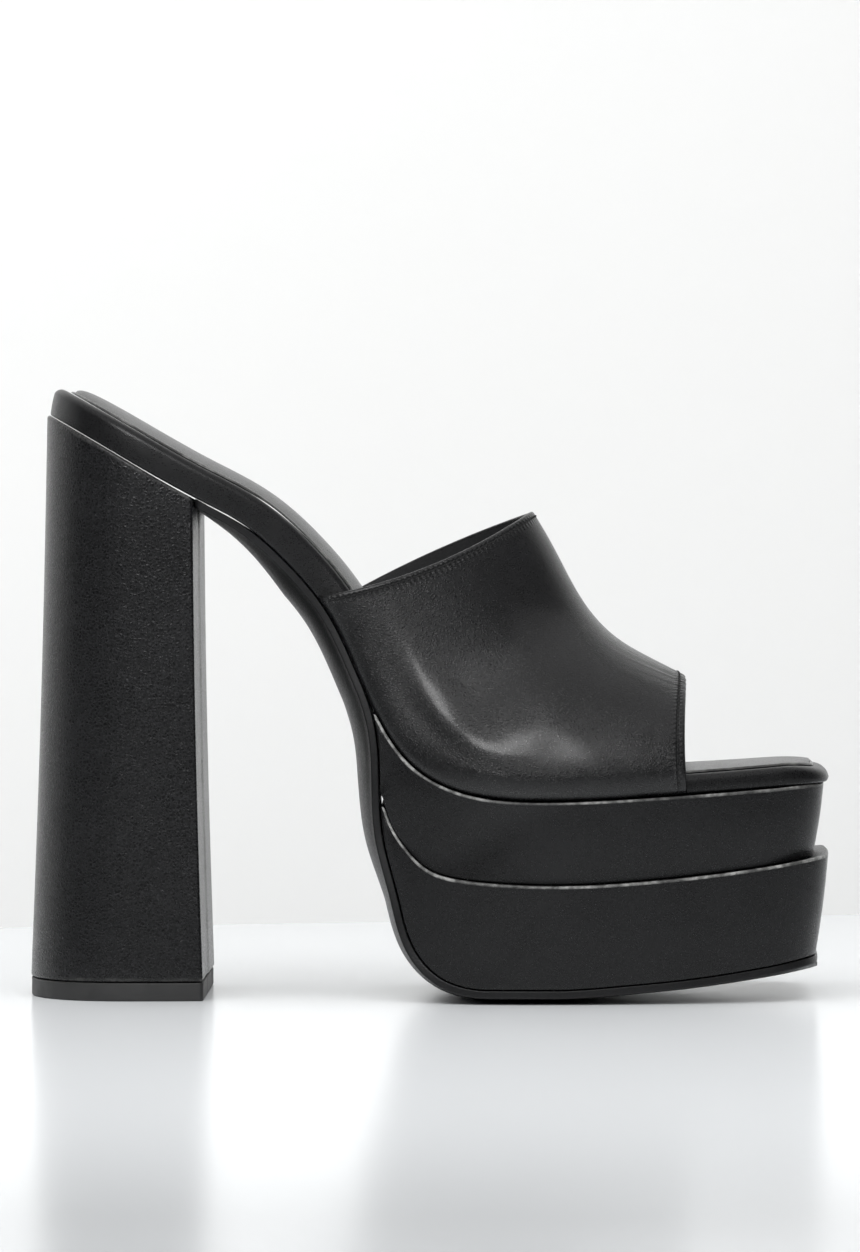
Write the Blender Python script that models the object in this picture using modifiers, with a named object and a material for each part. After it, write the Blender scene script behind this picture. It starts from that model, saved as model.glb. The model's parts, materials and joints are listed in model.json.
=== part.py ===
"""Right-foot platform mule with a square open toe and a tall block heel, one object for each piece its maker
puts together.

Frame: +X runs from heel to toe, +Y to the medial side and +Z up. The floor is z = 0, and the origin is on it
under the middle of the shoe. Sizes are in metres. Tables hold shares of the named sizes that they follow.
"""

import math
from collections import namedtuple

import bmesh
import bpy
import numpy as np

# Driving sizes of the last and the sole
LENGTH = 0.2224  # over all, back of the heel to the toe
HEEL_HEIGHT = 0.1598  # floor to the underside of the footbed at the back
BALL_HEIGHT = 0.0545  # floor to the underside of the footbed at the ball
STEP_HEIGHT = 0.0320  # floor to the top of the lower platform at the ball
BALL_WIDTH = 0.0840  # widest part of the footbed
WAIST_WIDTH = 0.0505  # narrowest part of the footbed
SEAT_WIDTH = 0.0600  # footbed over the heel
TOE_RADIUS = 0.0130  # corners of the square toe, seen from above
TOE_SKEW = 0.075  # forward lead of the big-toe corner, for each metre across
TOE_BOW = 0.0018  # how far the middle of the toe stands in front of its corners

# Footbed and the padded sock on it
FOOTBED_THICKNESS = 0.0082
TOE_THICKNESS = 0.0054  # footbed's thickness in front of the ball
FOOTBED_SETBACK = 0.0052  # back of the footbed's underside, ahead of the heel's foot
FOOTBED_UPRIGHT = 0.0020  # how far the top of the footbed's back stands behind the square to its line
RIM_ROUND = 0.0022  # rounding of the footbed's top edge
TOE_ROLL = 0.0022  # how far the footbed's top rolls down at the toe
ROLL_LENGTH = 0.0120  # length of that roll
SOCK_EDGE = 0.0007  # thickness of the sock at its edge
SOCK_CROWN = 0.0027  # rise of the sock's padding in the middle
SOCK_TOE_CROWN = 0.0008  # the same at the toe
SOCK_INSET = 0.0016  # sock's edge, inside the footbed's flat top

# Upper
WALL = 0.0016
INSTEP_HEIGHT = 0.0794  # top of the throat above the underside of the footbed at the ball
UPPER_BULGE = 0.0016  # swell of the upper round the footbed's edge

# Platforms and outsole
PLATFORM_OUT = 0.0023  # upper platform, outside the footbed at the sides
PLATFORM_TOE_OUT = 0.0010  # the same at the corners of the toe
PLATFORM_TAPER = 0.0016  # how much narrower each side of the upper platform is at its foot
STEP_OUT = 0.0030  # ledge of the lower platform
LOWER_TAPER = 0.0020
TOE_UNDERCUT = 0.0013  # overhang of the footbed over the upper platform's toe
UPPER_TOE_SLOPE = 0.0029  # how far the upper platform's toe runs back to its foot
LOWER_TOE_SLOPE = 0.0034
OUTSOLE_THICKNESS = 0.0021
OUTSOLE_CROWN = 0.0046  # extra thickness of the outsole's rounded waist
TREAD_SHARE = 0.34  # part of the outsole's width that is flat on the floor
TOE_SPRING = 0.0092  # rise of the outsole's toe above the floor

# Heel and its top piece
HEEL_FOOT_DEPTH = 0.0492
HEEL_FLARE = 0.0010  # how far each side of the heel's foot stands outside the seat's
HEEL_SEAT_OUT = 0.0006  # heel outside the footbed at the seat
BREAST_LEAN = 0.0027  # how far the breast leans forward from top to foot
BREAST_RADIUS = 0.0012
HEEL_WAIST = 0.0005  # hollow of the heel's sides, half-way up
TOP_PIECE_THICKNESS = 0.0050
GAP = 0.0003  # between pieces that are glued together

# Steps of the lofts
BACK_STEPS = 7
BODY_STEPS = 30
TOE_STEPS = 6
ACROSS_STEPS = 6
FINE_STEPS = 500
BEND_WEIGHT = 0.060  # length that counts as much as one radian of bend, when stations are spread

HEEL_BACK = -LENGTH / 2
TOE_FRONT = LENGTH / 2
BREAST_FOOT = HEEL_BACK + HEEL_FOOT_DEPTH
BREAST_TOP = BREAST_FOOT - BREAST_LEAN
SEAT_BACK = HEEL_BACK + FOOTBED_SETBACK
SEAT_ROUND = 0.46 * SEAT_WIDTH  # length of the rounded back
SEAT_POWER = 2.3  # 2 is an ellipse, more is squarer
TOE_CORNER = 0.29 * BALL_WIDTH  # from the middle to the start of the big-toe corner
FOOTBED_TOE = TOE_FRONT - TOE_SKEW * TOE_CORNER - TOE_BOW * (1 - (2 * TOE_CORNER / BALL_WIDTH) ** 2)

# The underside of the footbed in the side view: x along the shoe, rise between ball and heel
LinePoint = namedtuple("LinePoint", "x rise")
FOOT_LINE = [
    LinePoint(0.009, 1.020),
    LinePoint(0.100, 0.910),
    LinePoint(0.204, 0.786),
    LinePoint(0.270, 0.709),
    LinePoint(0.324, 0.609),
    LinePoint(0.370, 0.491),
    LinePoint(0.404, 0.350),
    LinePoint(0.440, 0.187),
    LinePoint(0.479, 0.084),
    LinePoint(0.542, 0.020),
    LinePoint(0.631, 0.001),
    LinePoint(0.767, 0.013),
    LinePoint(0.901, 0.032),
    LinePoint(1.015, 0.052),
]

# Widths of the footbed: a share of one named size, and the part of it on the lateral side
WidthPoint = namedtuple("WidthPoint", "x size share lateral")
WIDTHS = [
    WidthPoint(-0.021, SEAT_WIDTH, 0.97, 0.500),
    WidthPoint(0.098, SEAT_WIDTH, 1.00, 0.500),
    WidthPoint(0.198, SEAT_WIDTH, 0.99, 0.500),
    WidthPoint(0.298, WAIST_WIDTH, 1.07, 0.520),
    WidthPoint(0.372, WAIST_WIDTH, 1.00, 0.555),
    WidthPoint(0.452, BALL_WIDTH, 0.70, 0.575),
    WidthPoint(0.542, BALL_WIDTH, 0.87, 0.556),
    WidthPoint(0.621, BALL_WIDTH, 0.97, 0.516),
    WidthPoint(0.696, BALL_WIDTH, 1.00, 0.497),
    WidthPoint(0.796, BALL_WIDTH, 0.97, 0.490),
    WidthPoint(0.895, BALL_WIDTH, 0.91, 0.485),
    WidthPoint(1.015, BALL_WIDTH, 0.84, 0.480),
]

# The outsole's inner line below the split from the footbed: x ahead of the split, height as a share of the split's
SolePoint = namedtuple("SolePoint", "ahead height")
SPLIT_SHARE = 0.417  # where the platforms' point parts the outsole from the footbed
ARCH_LINE = [
    SolePoint(0.015, 0.852),
    SolePoint(0.019, 0.677),
    SolePoint(0.023, 0.507),
    SolePoint(0.041, 0.309),
    SolePoint(0.061, 0.133),
    SolePoint(0.095, 0.035),
]

# The outsole's inner line on the floor and up the toe: height above the flat as a share of the toe spring
SpringPoint = namedtuple("SpringPoint", "x spring")
FLOOR_LINE = [
    SpringPoint(0.560, 0.00),
    SpringPoint(0.610, 0.00),
    SpringPoint(0.655, 0.00),
    SpringPoint(0.726, 0.11),
    SpringPoint(0.792, 0.25),
    SpringPoint(0.886, 0.53),
    SpringPoint(0.945, 0.77),
    SpringPoint(1.010, 1.10),
]
FLAT_START_SHARE = 0.560
FLAT_END_SHARE = 0.655

# The top of the lower platform: heights as shares of its height at the ball
StepPoint = namedtuple("StepPoint", "x height")
STEP_TIP_SHARE = 1.76  # where the step line leaves the arch
STEP_LINE = [
    StepPoint(0.456, 1.400),
    StepPoint(0.471, 1.265),
    StepPoint(0.491, 1.140),
    StepPoint(0.537, 1.045),
    StepPoint(0.596, 1.010),
    StepPoint(0.656, 1.000),
    StepPoint(0.726, 1.020),
    StepPoint(0.796, 1.060),
    StepPoint(0.866, 1.110),
    StepPoint(0.935, 1.175),
    StepPoint(1.005, 1.260),
]

# Thickness of the outsole's rounded waist, as a share of the crown, against length along its line
BALL_CROWN_SHARE = 0.37
CrownPoint = namedtuple("CrownPoint", "along crown")
CROWN_LINE = [
    CrownPoint(0.00, 0.04),
    CrownPoint(0.06, 0.48),
    CrownPoint(0.14, 1.00),
    CrownPoint(0.30, 1.00),
    CrownPoint(0.37, 0.86),
    CrownPoint(0.44, 0.62),
    CrownPoint(0.50, BALL_CROWN_SHARE),
    CrownPoint(1.00, BALL_CROWN_SHARE),
]

# Sections of the upper from throat to toe opening. lateral_x and medial_x: where the section stands on the
# footbed; crest_x, rise, side: its highest point; sag: how far its side hangs below a straight line;
# full: the fullness of the arch, smaller is squarer
Section = namedtuple("Section", "lateral_x medial_x crest_x rise side lateral_sag medial_sag full")
SECTIONS = [
    Section(0.359, 0.366, 0.625, 1.000, 0.030, 0.0070, -0.0032, 0.92),
    Section(0.399, 0.402, 0.653, 0.864, 0.030, 0.0040, -0.0012, 0.90),
    Section(0.462, 0.459, 0.686, 0.692, 0.024, 0.0010, 0.0010, 0.86),
    Section(0.563, 0.569, 0.725, 0.566, 0.012, 0.0000, 0.0000, 0.82),
    Section(0.688, 0.700, 0.768, 0.491, 0.004, 0.0000, 0.0000, 0.78),
    Section(0.809, 0.828, 0.814, 0.424, 0.000, -0.0022, 0.0000, 0.74),
]
SECTION_STEPS = 22
BAND_STEPS = 3
ARCH_STEPS = 9

BLACK_HIDE = (0.012, 0.012, 0.014)
BLACK_LINING = (0.020, 0.020, 0.022)
BLACK_RUBBER = (0.016, 0.016, 0.017)


def natural_spline(knots, values, wanted):
    """Values at the wanted places of the smoothest cubic curve through the knots."""
    knots = np.asarray(knots, float)
    values = np.asarray(values, float).reshape(len(knots), -1)
    span = np.diff(knots)[:, None]
    slope = np.diff(values, axis=0) / span
    system = np.eye(len(knots))
    bend = np.zeros_like(values)
    for i in range(1, len(knots) - 1):
        system[i, i - 1 : i + 2] = span[i - 1, 0], 2 * (span[i - 1, 0] + span[i, 0]), span[i, 0]
        bend[i] = 6 * (slope[i] - slope[i - 1])
    bend = np.linalg.solve(system, bend)
    i = np.clip(np.searchsorted(knots, wanted) - 1, 0, len(knots) - 2)
    after = (np.asarray(wanted) - knots[i])[:, None]
    before = span[i] - after
    cubic = bend[i] * before**3 + bend[i + 1] * after**3
    linear_before = (values[i] - bend[i] * span[i] ** 2 / 6) * before
    linear_after = (values[i + 1] - bend[i + 1] * span[i] ** 2 / 6) * after
    return (cubic / 6 + linear_before + linear_after) / span[i]


class Line:
    """A line of (x, z) points in the side view, measured by its length."""

    def __init__(self, points):
        self.points = np.asarray(points, float)
        steps = np.hypot(*np.diff(self.points, axis=0).T)
        self.along = np.concatenate([[0.0], np.cumsum(steps)])
        self.length = self.along[-1]

    @classmethod
    def through(cls, knots):
        """A smooth line through a few knots."""
        knots = np.asarray(knots, float)
        chords = np.concatenate([[0.0], np.cumsum(np.hypot(*np.diff(knots, axis=0).T))])
        return cls(natural_spline(chords, knots, np.linspace(0, chords[-1], FINE_STEPS)))

    def at(self, distance):
        """Points at these distances from the start."""
        return np.stack([np.interp(distance, self.along, self.points[:, k]) for k in (0, 1)], -1)

    def normal(self, distance):
        """Unit normals on the upper side of the line, at these distances."""
        reach = self.length / FINE_STEPS
        ahead = self.at(np.minimum(distance + reach, self.length))
        behind = self.at(np.maximum(distance - reach, 0))
        tangent = ahead - behind
        tangent /= np.linalg.norm(tangent, axis=-1, keepdims=True)
        return np.stack([-tangent[..., 1], tangent[..., 0]], -1)

    def distance_at_x(self, x):
        """Distance at which a line that always runs forward reaches x."""
        return np.interp(x, self.points[:, 0], self.along)

    def spread(self, start, end, count):
        """Distances from start to end, closer together where the line bends."""
        fine = np.linspace(start, end, FINE_STEPS)
        normal = self.normal(fine)
        bend = np.linalg.norm(np.diff(normal, axis=0), axis=-1)
        effort = np.concatenate([[0.0], np.cumsum(np.diff(fine) + BEND_WEIGHT * bend)])
        return np.interp(np.linspace(0, effort[-1], count), effort, fine)

    def between(self, start, end):
        """The part of the line between two distances."""
        inside = (self.along > start) & (self.along < end)
        return Line(np.vstack([self.at(start), self.points[inside], self.at(end)]))

    def lifted(self, height):
        """The line moved along its normals."""
        return Line(self.points + height * self.normal(self.along))

    def joined(self, other):
        """This line followed by the other."""
        return Line(np.vstack([self.points, other.points]))


def at_share(share):
    """The x of a share of the shoe's length, from the back of the heel."""
    return HEEL_BACK + share * LENGTH


def half_widths(x):
    """Lateral and medial half-widths of the footbed at x, without the rounding of its ends."""
    knots = [at_share(p.x) for p in WIDTHS]
    sides = [(p.size * p.share * p.lateral, p.size * p.share * (1 - p.lateral)) for p in WIDTHS]
    return natural_spline(knots, sides, np.ravel(x)).T


def make_foot_line():
    """The underside of the footbed, from behind the heel to past the toe."""
    rise = HEEL_HEIGHT - BALL_HEIGHT
    return Line.through([(at_share(p.x), BALL_HEIGHT + p.rise * rise) for p in FOOT_LINE])


def make_arch_line(foot):
    """The outsole's inner line from its split with the footbed down the arch and along the floor to the toe."""
    split = foot.distance_at_x(at_share(SPLIT_SHARE))
    lead_in = [foot.at(split - step) for step in (0.012, 0.008, 0.004, 0.0)]
    split_x, split_z = lead_in[-1]
    flat = OUTSOLE_THICKNESS + BALL_CROWN_SHARE * OUTSOLE_CROWN + GAP
    arch = [
        (split_x + p.ahead * LENGTH, flat + p.height * (split_z - flat)) for p in ARCH_LINE
    ]
    floor = [(at_share(p.x), flat + p.spring * TOE_SPRING) for p in FLOOR_LINE]
    line = Line.through(lead_in + arch + floor)
    points = line.points
    on_flat = (points[:, 0] > at_share(FLAT_START_SHARE)) & (points[:, 0] < at_share(FLAT_END_SHARE))
    points[on_flat, 1] = flat
    points[:, 1] = np.maximum(points[:, 1], flat)
    start = np.argmin(np.hypot(*(points - lead_in[-1]).T))
    return Line(points[start:])


def make_step_line(arch):
    """The top of the lower platform, from its point on the arch to past the toe."""
    tip_height = STEP_TIP_SHARE * STEP_HEIGHT
    falling = arch.points[:, 1] > tip_height
    tip = arch.at(arch.along[falling][-1])
    knots = [tip] + [(at_share(p.x), p.height * STEP_HEIGHT) for p in STEP_LINE]
    return Line.through(knots)


FOOT = make_foot_line()
ARCH = make_arch_line(FOOT)
STEP = make_step_line(ARCH)

# One edge line round a piece: x, z and the two half-widths at each station
Rim = namedtuple("Rim", "x z lateral medial")


def board_lift(x):
    """Height of the footbed's top above its underside: thinner in front of the ball, rolled down at the toe."""
    thickness = np.interp(x, [at_share(0.45), at_share(0.75)], [FOOTBED_THICKNESS, TOE_THICKNESS])
    return thickness - TOE_ROLL * np.clip(1 - (FOOTBED_TOE - x) / ROLL_LENGTH, 0, 1) ** 2


def make_rim(line, lift, start, front, radius, side_out, back_round=0.0, on_board=False):
    """A rim on a line of the side view.

    It runs from a distance on the line to front, an x, moved by lift along the line's normals. radius rounds
    the two front corners, side_out widens both sides, and back_round rounds the back over that length. A rim
    on the board is lifted by the footbed's thickness too.
    """
    corner = np.linspace(0, math.pi / 2, TOE_STEPS + 1)
    corner_start = line.distance_at_x(front - radius)
    body_start = start
    back = np.zeros(0)
    if back_round:
        back_x = line.at(start)[0]
        turn = np.linspace(0, math.pi / 2, BACK_STEPS + 1)[:-1]
        back = line.distance_at_x(back_x + back_round * (1 - np.cos(turn)))
        body_start = line.distance_at_x(back_x + back_round)
    body = line.spread(body_start, corner_start, BODY_STEPS)
    toe = line.distance_at_x(front - radius + radius * np.sin(corner[1:]))
    distance = np.concatenate([back, body, toe])
    place = line.at(distance)
    lateral, medial = half_widths(place[:, 0])
    cut = np.zeros(len(distance))
    cut[-TOE_STEPS:] = radius * (1 - np.cos(corner[1:]))
    lateral = lateral + side_out - cut
    medial = medial + side_out - cut
    if back_round:
        behind = np.clip((place[0, 0] + back_round - place[:, 0]) / back_round, 0, 1)
        closing = (1 - behind**SEAT_POWER) ** (1 / SEAT_POWER)
        lateral, medial = lateral * closing, medial * closing
    rise = lift + on_board * board_lift(place[:, 0])
    place = place + rise[:, None] * line.normal(distance)
    return Rim(place[:, 0], place[:, 1], lateral, medial)


def platform_out(x):
    """How far the top of the upper platform stands outside the footbed at x."""
    return np.interp(x, [at_share(0.80), at_share(0.97)], [PLATFORM_OUT, PLATFORM_TOE_OUT])


def widened(rim, out):
    """The rim with both of its sides moved out."""
    return Rim(rim.x, rim.z, rim.lateral + out, rim.medial + out)


def between_rims(low, high, share):
    """The rim at a share of the way from one rim to another."""
    return Rim(*(a + share * (b - a) for a, b in zip(low, high)))


def bend_toe(points):
    """Moves points of the toe forward: the big-toe corner leads, and the middle stands out."""
    x, y = points[..., 0], points[..., 1]
    start = at_share(0.78)
    share = np.clip((x - start) / (TOE_FRONT - start), 0, 1)
    share = share * share * (3 - 2 * share)
    half = BALL_WIDTH / 2
    moved = points.copy()
    moved[..., 0] += share * (TOE_SKEW * y + TOE_BOW * (1 - (y / half) ** 2))
    return moved


def new_object(name, mesh, look):
    """Puts a mesh in the scene as one named piece."""
    piece = bpy.data.objects.new(name, mesh)
    SHOE.objects.link(piece)
    mesh.materials.append(look)
    return piece


def mesh_from_grids(name, grids):
    """One mesh from grids of points that share their edges. Flat-sided pieces stay crisp above 40 degrees."""
    shape = bmesh.new()
    for grid in grids:
        rows, columns = grid.shape[:2]
        verts = [[shape.verts.new(point) for point in row] for row in grid]
        for i in range(rows - 1):
            for j in range(columns - 1):
                corners = (verts[i][j], verts[i + 1][j], verts[i + 1][j + 1], verts[i][j + 1])
                shape.faces.new(corners)
    bmesh.ops.remove_doubles(shape, verts=shape.verts, dist=1e-6)
    bmesh.ops.recalc_face_normals(shape, faces=shape.faces)
    mesh = bpy.data.meshes.new(name)
    shape.to_mesh(mesh)
    shape.free()
    mesh.shade_smooth()
    mesh.set_sharp_from_angle(angle=math.radians(40))
    return mesh


def make_slab(name, rims, look, top_crown=None, foot_crown=None, flat=0.0):
    """A closed piece lofted through rims from its foot to its top, with a cap across each end and face.

    A crown swells the middle of the top or the foot: an (x, z) vector at each station, which reaches its full
    size over the flat share of the width.
    """
    levels = np.array([np.stack(rim, -1) for rim in rims])
    lateral = np.stack([levels[..., 0], -levels[..., 2], levels[..., 1]], -1)
    medial = np.stack([levels[..., 0], levels[..., 3], levels[..., 1]], -1)
    across = np.linspace(0, 1, ACROSS_STEPS + 1)
    off_middle = np.clip((np.abs(2 * across - 1) - flat) / (1 - flat), 0, 1)
    arc = 1 - off_middle**2

    def cap(low, high, crown=None):
        grid = low[:, None] + across[:, None] * (high - low)[:, None]
        if crown is not None:
            grid[..., 0] += crown[:, None, 0] * arc
            grid[..., 2] += crown[:, None, 1] * arc
        return grid

    def end_cap(station):
        grid = cap(lateral[:, station], medial[:, station])
        for row, crown in ((0, foot_crown), (-1, top_crown)):
            if crown is not None:
                grid[row, :, 0] += crown[station, 0] * arc
                grid[row, :, 2] += crown[station, 1] * arc
        return grid

    grids = [
        lateral,
        medial,
        cap(lateral[0], medial[0], foot_crown),
        cap(lateral[-1], medial[-1], top_crown),
        end_cap(0),
        end_cap(-1),
    ]
    return new_object(name, mesh_from_grids(name, [bend_toe(g) for g in grids]), look)


def make_look(name, colour, roughness):
    """A plain finish for one kind of surface."""
    look = bpy.data.materials.new(name)
    look.use_nodes = True
    shader = look.node_tree.nodes["Principled BSDF"]
    shader.inputs["Base Color"].default_value = (*colour, 1)
    shader.inputs["Roughness"].default_value = roughness
    shader.inputs["Metallic"].default_value = 0.0
    return look


def make_footbed(look):
    """The wrapped insole board: flat underneath, its top edge rounded all round."""
    start = FOOT.distance_at_x(SEAT_BACK)
    rims = [make_rim(FOOT, 0.0, start, FOOTBED_TOE, TOE_RADIUS, 0.0, SEAT_ROUND)]
    for turn in np.linspace(0, math.pi / 2, 4):
        inset = RIM_ROUND * (1 - math.cos(turn))
        drop = RIM_ROUND * (1 - math.sin(turn))
        back = start - FOOTBED_UPRIGHT + inset
        front = FOOTBED_TOE - inset
        rims.append(make_rim(FOOT, -drop, back, front, TOE_RADIUS, -inset, SEAT_ROUND, True))
    return make_slab("footbed", rims, look)


def make_sock(look):
    """The padded lining on the footbed, thin at its edge and crowned along the middle."""
    inset = RIM_ROUND + SOCK_INSET
    start = FOOT.distance_at_x(SEAT_BACK) - FOOTBED_UPRIGHT + inset
    rims = []
    for rise in (0.0, SOCK_EDGE):
        front = FOOTBED_TOE - inset - rise
        side = -inset - rise
        rim = make_rim(FOOT, GAP + rise, start + rise, front, TOE_RADIUS, side, SEAT_ROUND, True)
        rims.append(rim)
    high = rims[-1]
    width = high.lateral + high.medial
    closing = 1 - (1 - np.minimum(width / WAIST_WIDTH, 1)) ** 2
    crown = closing * np.interp(high.x, [at_share(0.45), at_share(0.80)], [SOCK_CROWN, SOCK_TOE_CROWN])
    direction = FOOT.normal(FOOT.distance_at_x(high.x))
    return make_slab("sock", rims, look, top_crown=crown[:, None] * direction)


def nearest_foot_x(points):
    """The x of the point of the footbed's underside that lies nearest to each (x, z) point."""
    apart = np.hypot(*(points[..., None, :] - FOOT.points).transpose(3, 0, 1, 2))
    return FOOT.points[apart.argmin(-1), 0]


def upper_side(sections, side):
    """One side of the upper as a grid of points, from the footbed's underside to the crest.

    Each section stands on the footbed, follows its edge up to the top of the board, and closes over the foot
    as an arch whose height follows a sine and whose half-width a power of the cosine.
    """
    at_foot = at_share(sections["lateral_x" if side < 0 else "medial_x"])
    sag = sections["lateral_sag" if side < 0 else "medial_sag"]
    foot = FOOT.at(FOOT.distance_at_x(at_foot))
    crest_z = BALL_HEIGHT + sections["rise"] * INSTEP_HEIGHT
    crest = np.stack([at_share(sections["crest_x"]), crest_z], -1)
    chord = crest - foot
    reach = np.linalg.norm(chord, axis=-1)
    below = np.stack([chord[:, 1], -chord[:, 0]], -1) / reach[:, None]
    bend = (foot + crest) / 2 + sag[:, None] * below
    band = board_lift(foot[:, 0]) / reach
    turn = np.linspace(0, math.pi / 2, ARCH_STEPS + 1)
    in_band = band[:, None] * np.linspace(0, 1, BAND_STEPS + 1)[:-1]
    over = band[:, None] + (1 - band[:, None]) * np.sin(turn)
    share = np.hstack([in_band, over])
    q = share[..., None]
    path = (1 - q) ** 2 * foot[:, None] + 2 * q * (1 - q) * bend[:, None] + q**2 * crest[:, None]
    footing = half_widths(nearest_foot_x(path))[0 if side < 0 else 1].reshape(share.shape)
    footing[:, BAND_STEPS:] = footing[:, BAND_STEPS : BAND_STEPS + 1]
    closing = np.hstack(
        [np.ones((len(share), BAND_STEPS)), np.cos(turn).clip(0) ** sections["full"][:, None]]
    )
    swell = share / (1.2 * band[:, None])
    bulge = UPPER_BULGE * swell * np.exp(1 - swell) * closing
    width = (footing + GAP + WALL) * closing + bulge
    ridge = sections["side"][:, None] * BALL_WIDTH * (1 - closing)
    return np.stack([path[..., 0], ridge + side * width, path[..., 1]], -1)


def make_upper(look):
    """The vamp: one open sheet over the foot, thickened inwards into a wall."""
    knots = np.linspace(0, 1, len(SECTIONS))
    wanted = np.linspace(0, 1, SECTION_STEPS + 1)
    table = natural_spline(knots, SECTIONS, wanted).T
    sections = dict(zip(Section._fields, table))
    lateral = upper_side(sections, -1)
    medial = upper_side(sections, 1)
    sheet = np.concatenate([lateral, medial[:, -2::-1]], axis=1)
    piece = new_object("upper", mesh_from_grids("upper", [bend_toe(sheet)]), look)
    face_out(piece.data)
    wall = piece.modifiers.new("wall", "SOLIDIFY")
    wall.thickness = WALL
    wall.offset = -1
    wall.use_even_offset = True
    wall.use_quality_normals = True
    return piece


def face_out(mesh):
    """Turns an open sheet's faces away from the inside of the shoe."""
    shape = bmesh.new()
    shape.from_mesh(mesh)
    highest = max(shape.faces, key=lambda face: face.calc_center_median().z)
    if highest.normal.z < 0:
        bmesh.ops.reverse_faces(shape, faces=shape.faces)
    shape.to_mesh(mesh)
    shape.free()


def make_upper_platform(look):
    """The platform under the footbed, down to the step and back to a point on the arch."""
    point = 0.0070
    split = FOOT.distance_at_x(at_share(SPLIT_SHARE))
    front = FOOTBED_TOE - TOE_UNDERCUT
    top = make_rim(FOOT, -GAP, split + point, front, TOE_RADIUS, 0.0)
    tip = ARCH.along[np.argmin(np.hypot(*(ARCH.points - STEP.points[0]).T))]
    foot_line = ARCH.between(point, tip).joined(STEP.between(0.001, STEP.length).lifted(GAP))
    foot_front = front - UPPER_TOE_SLOPE
    foot = make_rim(foot_line, 0.0, 0.0, foot_front, TOE_RADIUS, 0.0)
    height = (top.z - foot.z) / (top.z - foot.z).max()
    top = widened(top, platform_out(top.x))
    foot = widened(foot, platform_out(foot.x) - PLATFORM_TAPER * height)
    return make_slab("upper_platform", [foot, between_rims(foot, top, 0.5), top], look)


def make_lower_platform(look):
    """The lower platform, a ledge wider than the upper one, between the step and the outsole."""
    point = 0.0035
    front = FOOTBED_TOE
    tip = ARCH.along[np.argmin(np.hypot(*(ARCH.points - STEP.points[0]).T))]
    top = make_rim(STEP, 0.0, point, front, TOE_RADIUS, 0.0)
    foot_start = tip + point
    foot = make_rim(ARCH, 0.0, foot_start, front - LOWER_TOE_SLOPE, TOE_RADIUS, 0.0)
    height = np.clip((top.z - foot.z) / (STEP_HEIGHT - OUTSOLE_THICKNESS), 0, 1)
    ledge = STEP_OUT * (0.3 + 0.7 * height) - PLATFORM_TAPER
    top = widened(top, platform_out(top.x) + ledge)
    foot = widened(foot, platform_out(foot.x) + ledge - LOWER_TAPER * height)
    return make_slab("lower_platform", [foot, between_rims(foot, top, 0.5), top], look)


def make_outsole(look):
    """The sheet sole from the heel's breast down the arch and under the platform, its waist rounded below."""
    breast = FOOT.distance_at_x(BREAST_TOP + GAP)
    split = FOOT.distance_at_x(at_share(SPLIT_SHARE))
    line = FOOT.between(breast, split).joined(ARCH.between(0.0005, ARCH.length))
    front = FOOTBED_TOE - LOWER_TOE_SLOPE
    top = make_rim(line, -GAP, 0.0, front, TOE_RADIUS, 0.0)
    place = np.stack([top.x, top.z], -1)
    steps = np.linalg.norm(np.diff(place, axis=0), axis=-1)
    along = np.concatenate([[0.0], np.cumsum(steps)]) / steps.sum()
    ahead = np.gradient(place, axis=0)
    ahead /= np.linalg.norm(ahead, axis=-1, keepdims=True)
    down = np.stack([ahead[:, 1], -ahead[:, 0]], -1)
    low = place + OUTSOLE_THICKNESS * down
    low[0] = top.x[0] + GAP, np.interp(top.x[0] + GAP, low[:4, 0], low[:4, 1])
    ledge = STEP_OUT - PLATFORM_TAPER - LOWER_TAPER
    waist = np.interp(along, [0, 0.30, 0.50], [-0.0010, -0.0002, PLATFORM_OUT + ledge])
    out = np.minimum(waist, platform_out(top.x) + ledge)
    top = widened(top, out)
    foot = Rim(low[:, 0], low[:, 1], top.lateral, top.medial)
    crown = np.interp(along, [p.along for p in CROWN_LINE], [p.crown for p in CROWN_LINE])
    crown = OUTSOLE_CROWN * crown[:, None] * down
    return make_slab("outsole", [foot, top], look, foot_crown=crown, flat=TREAD_SHARE)


def heel_foot_rim(height):
    """The heel's D-shaped outline at its foot, level at this height."""
    level = Line([(HEEL_BACK - 0.01, height), (TOE_FRONT, height)])
    back = HEEL_BACK - level.points[0, 0]
    return make_rim(level, 0.0, back, BREAST_FOOT, BREAST_RADIUS, HEEL_FLARE, SEAT_ROUND)


def make_heel(look):
    """The block heel: its seat follows the footbed, its back and sides flare to the foot."""
    back = FOOT.distance_at_x(SEAT_BACK - HEEL_SEAT_OUT)
    seat = make_rim(FOOT, -GAP, back, BREAST_TOP, BREAST_RADIUS, HEEL_SEAT_OUT, SEAT_ROUND)
    foot = heel_foot_rim(TOP_PIECE_THICKNESS + GAP)
    rims = []
    for share in np.linspace(0, 1, 6):
        rim = between_rims(foot, seat, share)
        hollow = 1 - HEEL_WAIST * math.sin(math.pi * share) / (SEAT_WIDTH / 2)
        rims.append(Rim(rim.x, rim.z, rim.lateral * hollow, rim.medial * hollow))
    return make_slab("heel", rims, look)


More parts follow.
